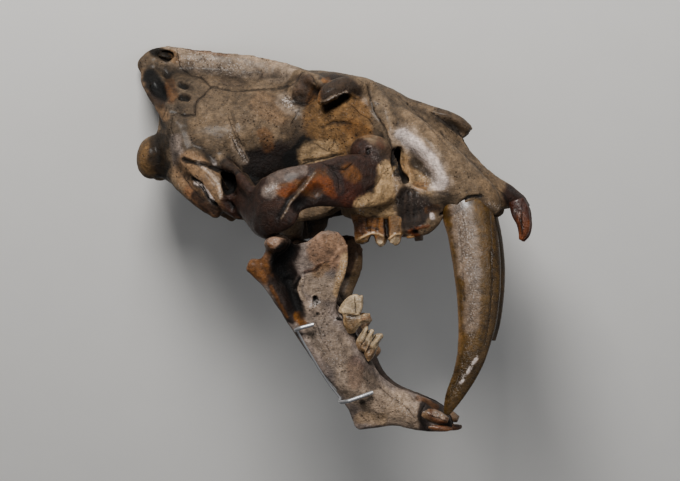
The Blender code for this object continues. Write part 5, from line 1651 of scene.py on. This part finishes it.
def wire_tree():
    """Geometry Nodes that run a round wire with rounded bends along the edges of a mesh."""
    tree = bpy.data.node_groups.new("wire_along_path", "GeometryNodeTree")
    tree.interface.new_socket("Geometry", in_out="INPUT", socket_type="NodeSocketGeometry")
    for name, kind in (("Radius", "Float"), ("Bend", "Float"), ("Finish", "Material")):
        tree.interface.new_socket(name, in_out="INPUT", socket_type="NodeSocket" + kind)
    tree.interface.new_socket("Geometry", in_out="OUTPUT", socket_type="NodeSocketGeometry")
    given = tree.nodes.new("NodeGroupInput")
    path = add_node(tree, "GeometryNodeMeshToCurve", [("Mesh", given.outputs["Geometry"])])
    bent = add_node(
        tree, "GeometryNodeFilletCurve", [("Curve", path.outputs["Curve"]), ("Radius", given.outputs["Bend"])]
    )
    set_poly_fillet(bent)
    ring = add_node(
        tree, "GeometryNodeCurvePrimitiveCircle",
        [("Resolution", WIRE_CORNERS), ("Radius", given.outputs["Radius"])],
    )
    tube = add_node(
        tree, "GeometryNodeCurveToMesh",
        [("Curve", bent.outputs["Curve"]), ("Profile Curve", ring.outputs["Curve"]), ("Fill Caps", True)],
    )
    real = add_node(tree, "GeometryNodeRealizeInstances", [("Geometry", tube.outputs["Mesh"])])
    dressed = add_node(
        tree, "GeometryNodeSetMaterial",
        [("Geometry", real.outputs["Geometry"]), ("Material", given.outputs["Finish"])],
    )
    result = tree.nodes.new("NodeGroupOutput")
    tree.links.new(dressed.outputs["Geometry"], result.inputs["Geometry"])
    return tree


def set_poly_fillet(node):
    """Rounds the bends with a few points each."""
    node.mode = "POLY"
    node.inputs["Count"].default_value = BEND_POINTS
    node.inputs["Limit Radius"].default_value = True


def wire(name, path, radius, material):
    """One wire along its path, made by the Geometry Nodes tree and settled to a plain mesh."""
    tree = bpy.data.node_groups.get("wire_along_path") or wire_tree()
    mesh = bpy.data.meshes.new(name)
    mesh.from_pydata([Vector(point) * MM for point in path], [(i, i + 1) for i in range(len(path) - 1)], [])
    made = bpy.data.objects.new(name, mesh)
    bpy.context.scene.collection.objects.link(made)
    sweep = made.modifiers.new("wire", "NODES")
    sweep.node_group = tree
    values = {"Radius": radius, "Bend": BEND_SHARE * radius, "Finish": material}
    for item in tree.interface.items_tree:
        if item.in_out == "INPUT" and item.name in values:
            sweep[item.identifier] = values[item.name]
    settle_modifiers(made)
    return made


def wire_material():
    """Dull grey wire with fine scratches along it."""
    material, tree, shader = new_material("Jaw wire")
    place = skull_place(tree)
    scratches = noise(tree, place, WIRE_SCRATCH_SCALE, 6.0).outputs["Fac"]
    tree.links.new(remap(tree, scratches, 0.3, 0.7, 0.28, 0.55), shader.inputs["Roughness"])
    ramp = add_node(tree, "ShaderNodeValToRGB", [("Fac", scratches)])
    ramp.color_ramp.elements[0].color = (0.20, 0.20, 0.21, 1)
    ramp.color_ramp.elements[1].color = (0.52, 0.52, 0.53, 1)
    tree.links.new(ramp.outputs["Color"], shader.inputs["Base Color"])
    shader.inputs["Metallic"].default_value = 0.9
    dents = add_node(
        tree, "ShaderNodeBump", [("Strength", 0.3), ("Distance", 0.2 * MM), ("Height", scratches)]
    )
    tree.links.new(dents.outputs["Normal"], shader.inputs["Normal"])
    return material


class SKULL_OT_wires(bpy.types.Operator):
    """Make the wire clips and the strut on the right jaw"""

    bl_idname = "skull.wires"
    bl_label = "Jaw wires"

    def execute(self, context):
        material = wire_material()
        for name, path, radius in (
            ("upper_clip", UPPER_CLIP, looks().clip_radius),
            ("lower_clip", LOWER_CLIP, looks().clip_radius),
            ("wire_strut", STRUT, looks().strut_radius),
        ):
            made = wire(name, path, radius, material)
            lay_down(made, ["jaw_wire"], material)
        return {"FINISHED"}


def area_light(name, place, aim, size, power, colour):
    """A soft square light at a place, turned to what it lights."""
    lamp = bpy.data.lights.new(name, "AREA")
    lamp.size = size
    lamp.energy = power
    lamp.color = colour
    made = bpy.data.objects.new(name, lamp)
    made.location = place
    made.rotation_euler = (Vector(place) - Vector(aim)).to_track_quat("Z", "Y").to_euler()
    bpy.context.scene.collection.objects.link(made)


def floor():
    """The plain matt floor."""
    bm = bmesh.new()
    bmesh.ops.create_grid(bm, x_segments=1, y_segments=1, size=FLOOR_SIZE)
    made = mesh_object("floor", bm)
    made.data.transform(Matrix.Scale(1 / MM, 4))
    material, tree, shader = new_material("Floor")
    coordinates = add_node(tree, "ShaderNodeTexCoord")
    mottle = noise(tree, coordinates.outputs["Object"], FLOOR_SCALE, 2.0)
    light, dark = ((*(c * share for c in looks().floor_colour), 1) for share in (1, FLOOR_SHADE))
    tone = mix_colours(tree, "MIX", mottle.outputs["Fac"], light, dark)
    tree.links.new(tone, shader.inputs["Base Color"])
    shader.inputs["Roughness"].default_value = FLOOR_ROUGHNESS
    made.data.materials.append(material)


def camera():
    """The camera, where the photograph's stood over the skull as it lies."""
    right, up, back = camera_axes()
    lens = bpy.data.cameras.new("camera")
    lens.sensor_width = SENSOR
    lens.lens = SENSOR * DISTANCE / VIEW_WIDTH
    lens.clip_end = 50
    eye = bpy.data.objects.new("camera", lens)
    axes = Matrix((right, up, back)).transposed().to_4x4()
    spot = Matrix.Translation((Vector(TARGET) + back * DISTANCE) * MM)
    eye.matrix_world = REST @ spot @ axes
    bpy.context.scene.collection.objects.link(eye)
    bpy.context.scene.camera = eye


def lights():
    """The lights at the skull, a soft one above it and a faint sky."""
    right, up, back = camera_axes()
    middle = REST @ (Vector(TARGET) * MM)
    for name, (across, rise, toward), distance, size, power, colour in LIGHTS:
        way = REST.to_3x3() @ (right * across + up * rise + back * toward).normalized()
        area_light(name, middle + way * distance, middle, size, power, colour)
    area_light("top", (0, 0, TOP_LIGHT_HEIGHT), (0, 0, 0), TOP_LIGHT_SIZE, TOP_LIGHT_POWER, (1, 1, 1))
    world = bpy.data.worlds.new("studio")
    world.use_nodes = True
    sky = world.node_tree.nodes["Background"]
    sky.inputs["Color"].default_value = SKY_COLOUR
    sky.inputs["Strength"].default_value = SKY_STRENGTH
    bpy.context.scene.world = world


class SKULL_OT_stage(bpy.types.Operator):
    """Make the floor, the lights and the camera"""

    bl_idname = "skull.stage"
    bl_label = "Stage"

    def execute(self, context):
        floor()
        camera()
        lights()
        return {"FINISHED"}


class SKULL_PT_pieces(bpy.types.Panel):
    """Lists the skull's pieces in the sidebar"""

    bl_label = "Skull"
    bl_idname = "SKULL_PT_pieces"
    bl_space_type = "VIEW_3D"
    bl_region_type = "UI"
    bl_category = "Skull"

    def draw(self, context):
        for name in SkullLooks.__annotations__:
            self.layout.prop(context.scene.skull_looks, name)
        for piece in PIECES:
            self.layout.operator(piece.bl_idname)


PIECES = (
    SKULL_OT_stage, SKULL_OT_cranium, SKULL_OT_jaw, SKULL_OT_sabres, SKULL_OT_cheek_teeth,
    SKULL_OT_front_teeth, SKULL_OT_wires,
)
CLASSES = (SkullLooks, *PIECES, SKULL_PT_pieces)


def register():
    for kind in CLASSES:
        bpy.utils.register_class(kind)
    bpy.types.Scene.skull_looks = PointerProperty(type=SkullLooks)


def unregister():
    del bpy.types.Scene.skull_looks
    for kind in reversed(CLASSES):
        bpy.utils.unregister_class(kind)


def main():
    register()
    bpy.ops.skull.stage()
    bpy.ops.skull.cranium()
    bpy.ops.skull.jaw()
    bpy.ops.skull.sabres()
    bpy.ops.skull.cheek_teeth()
    bpy.ops.skull.front_teeth()
    bpy.ops.skull.wires()


if __name__ == "__main__":
    main()
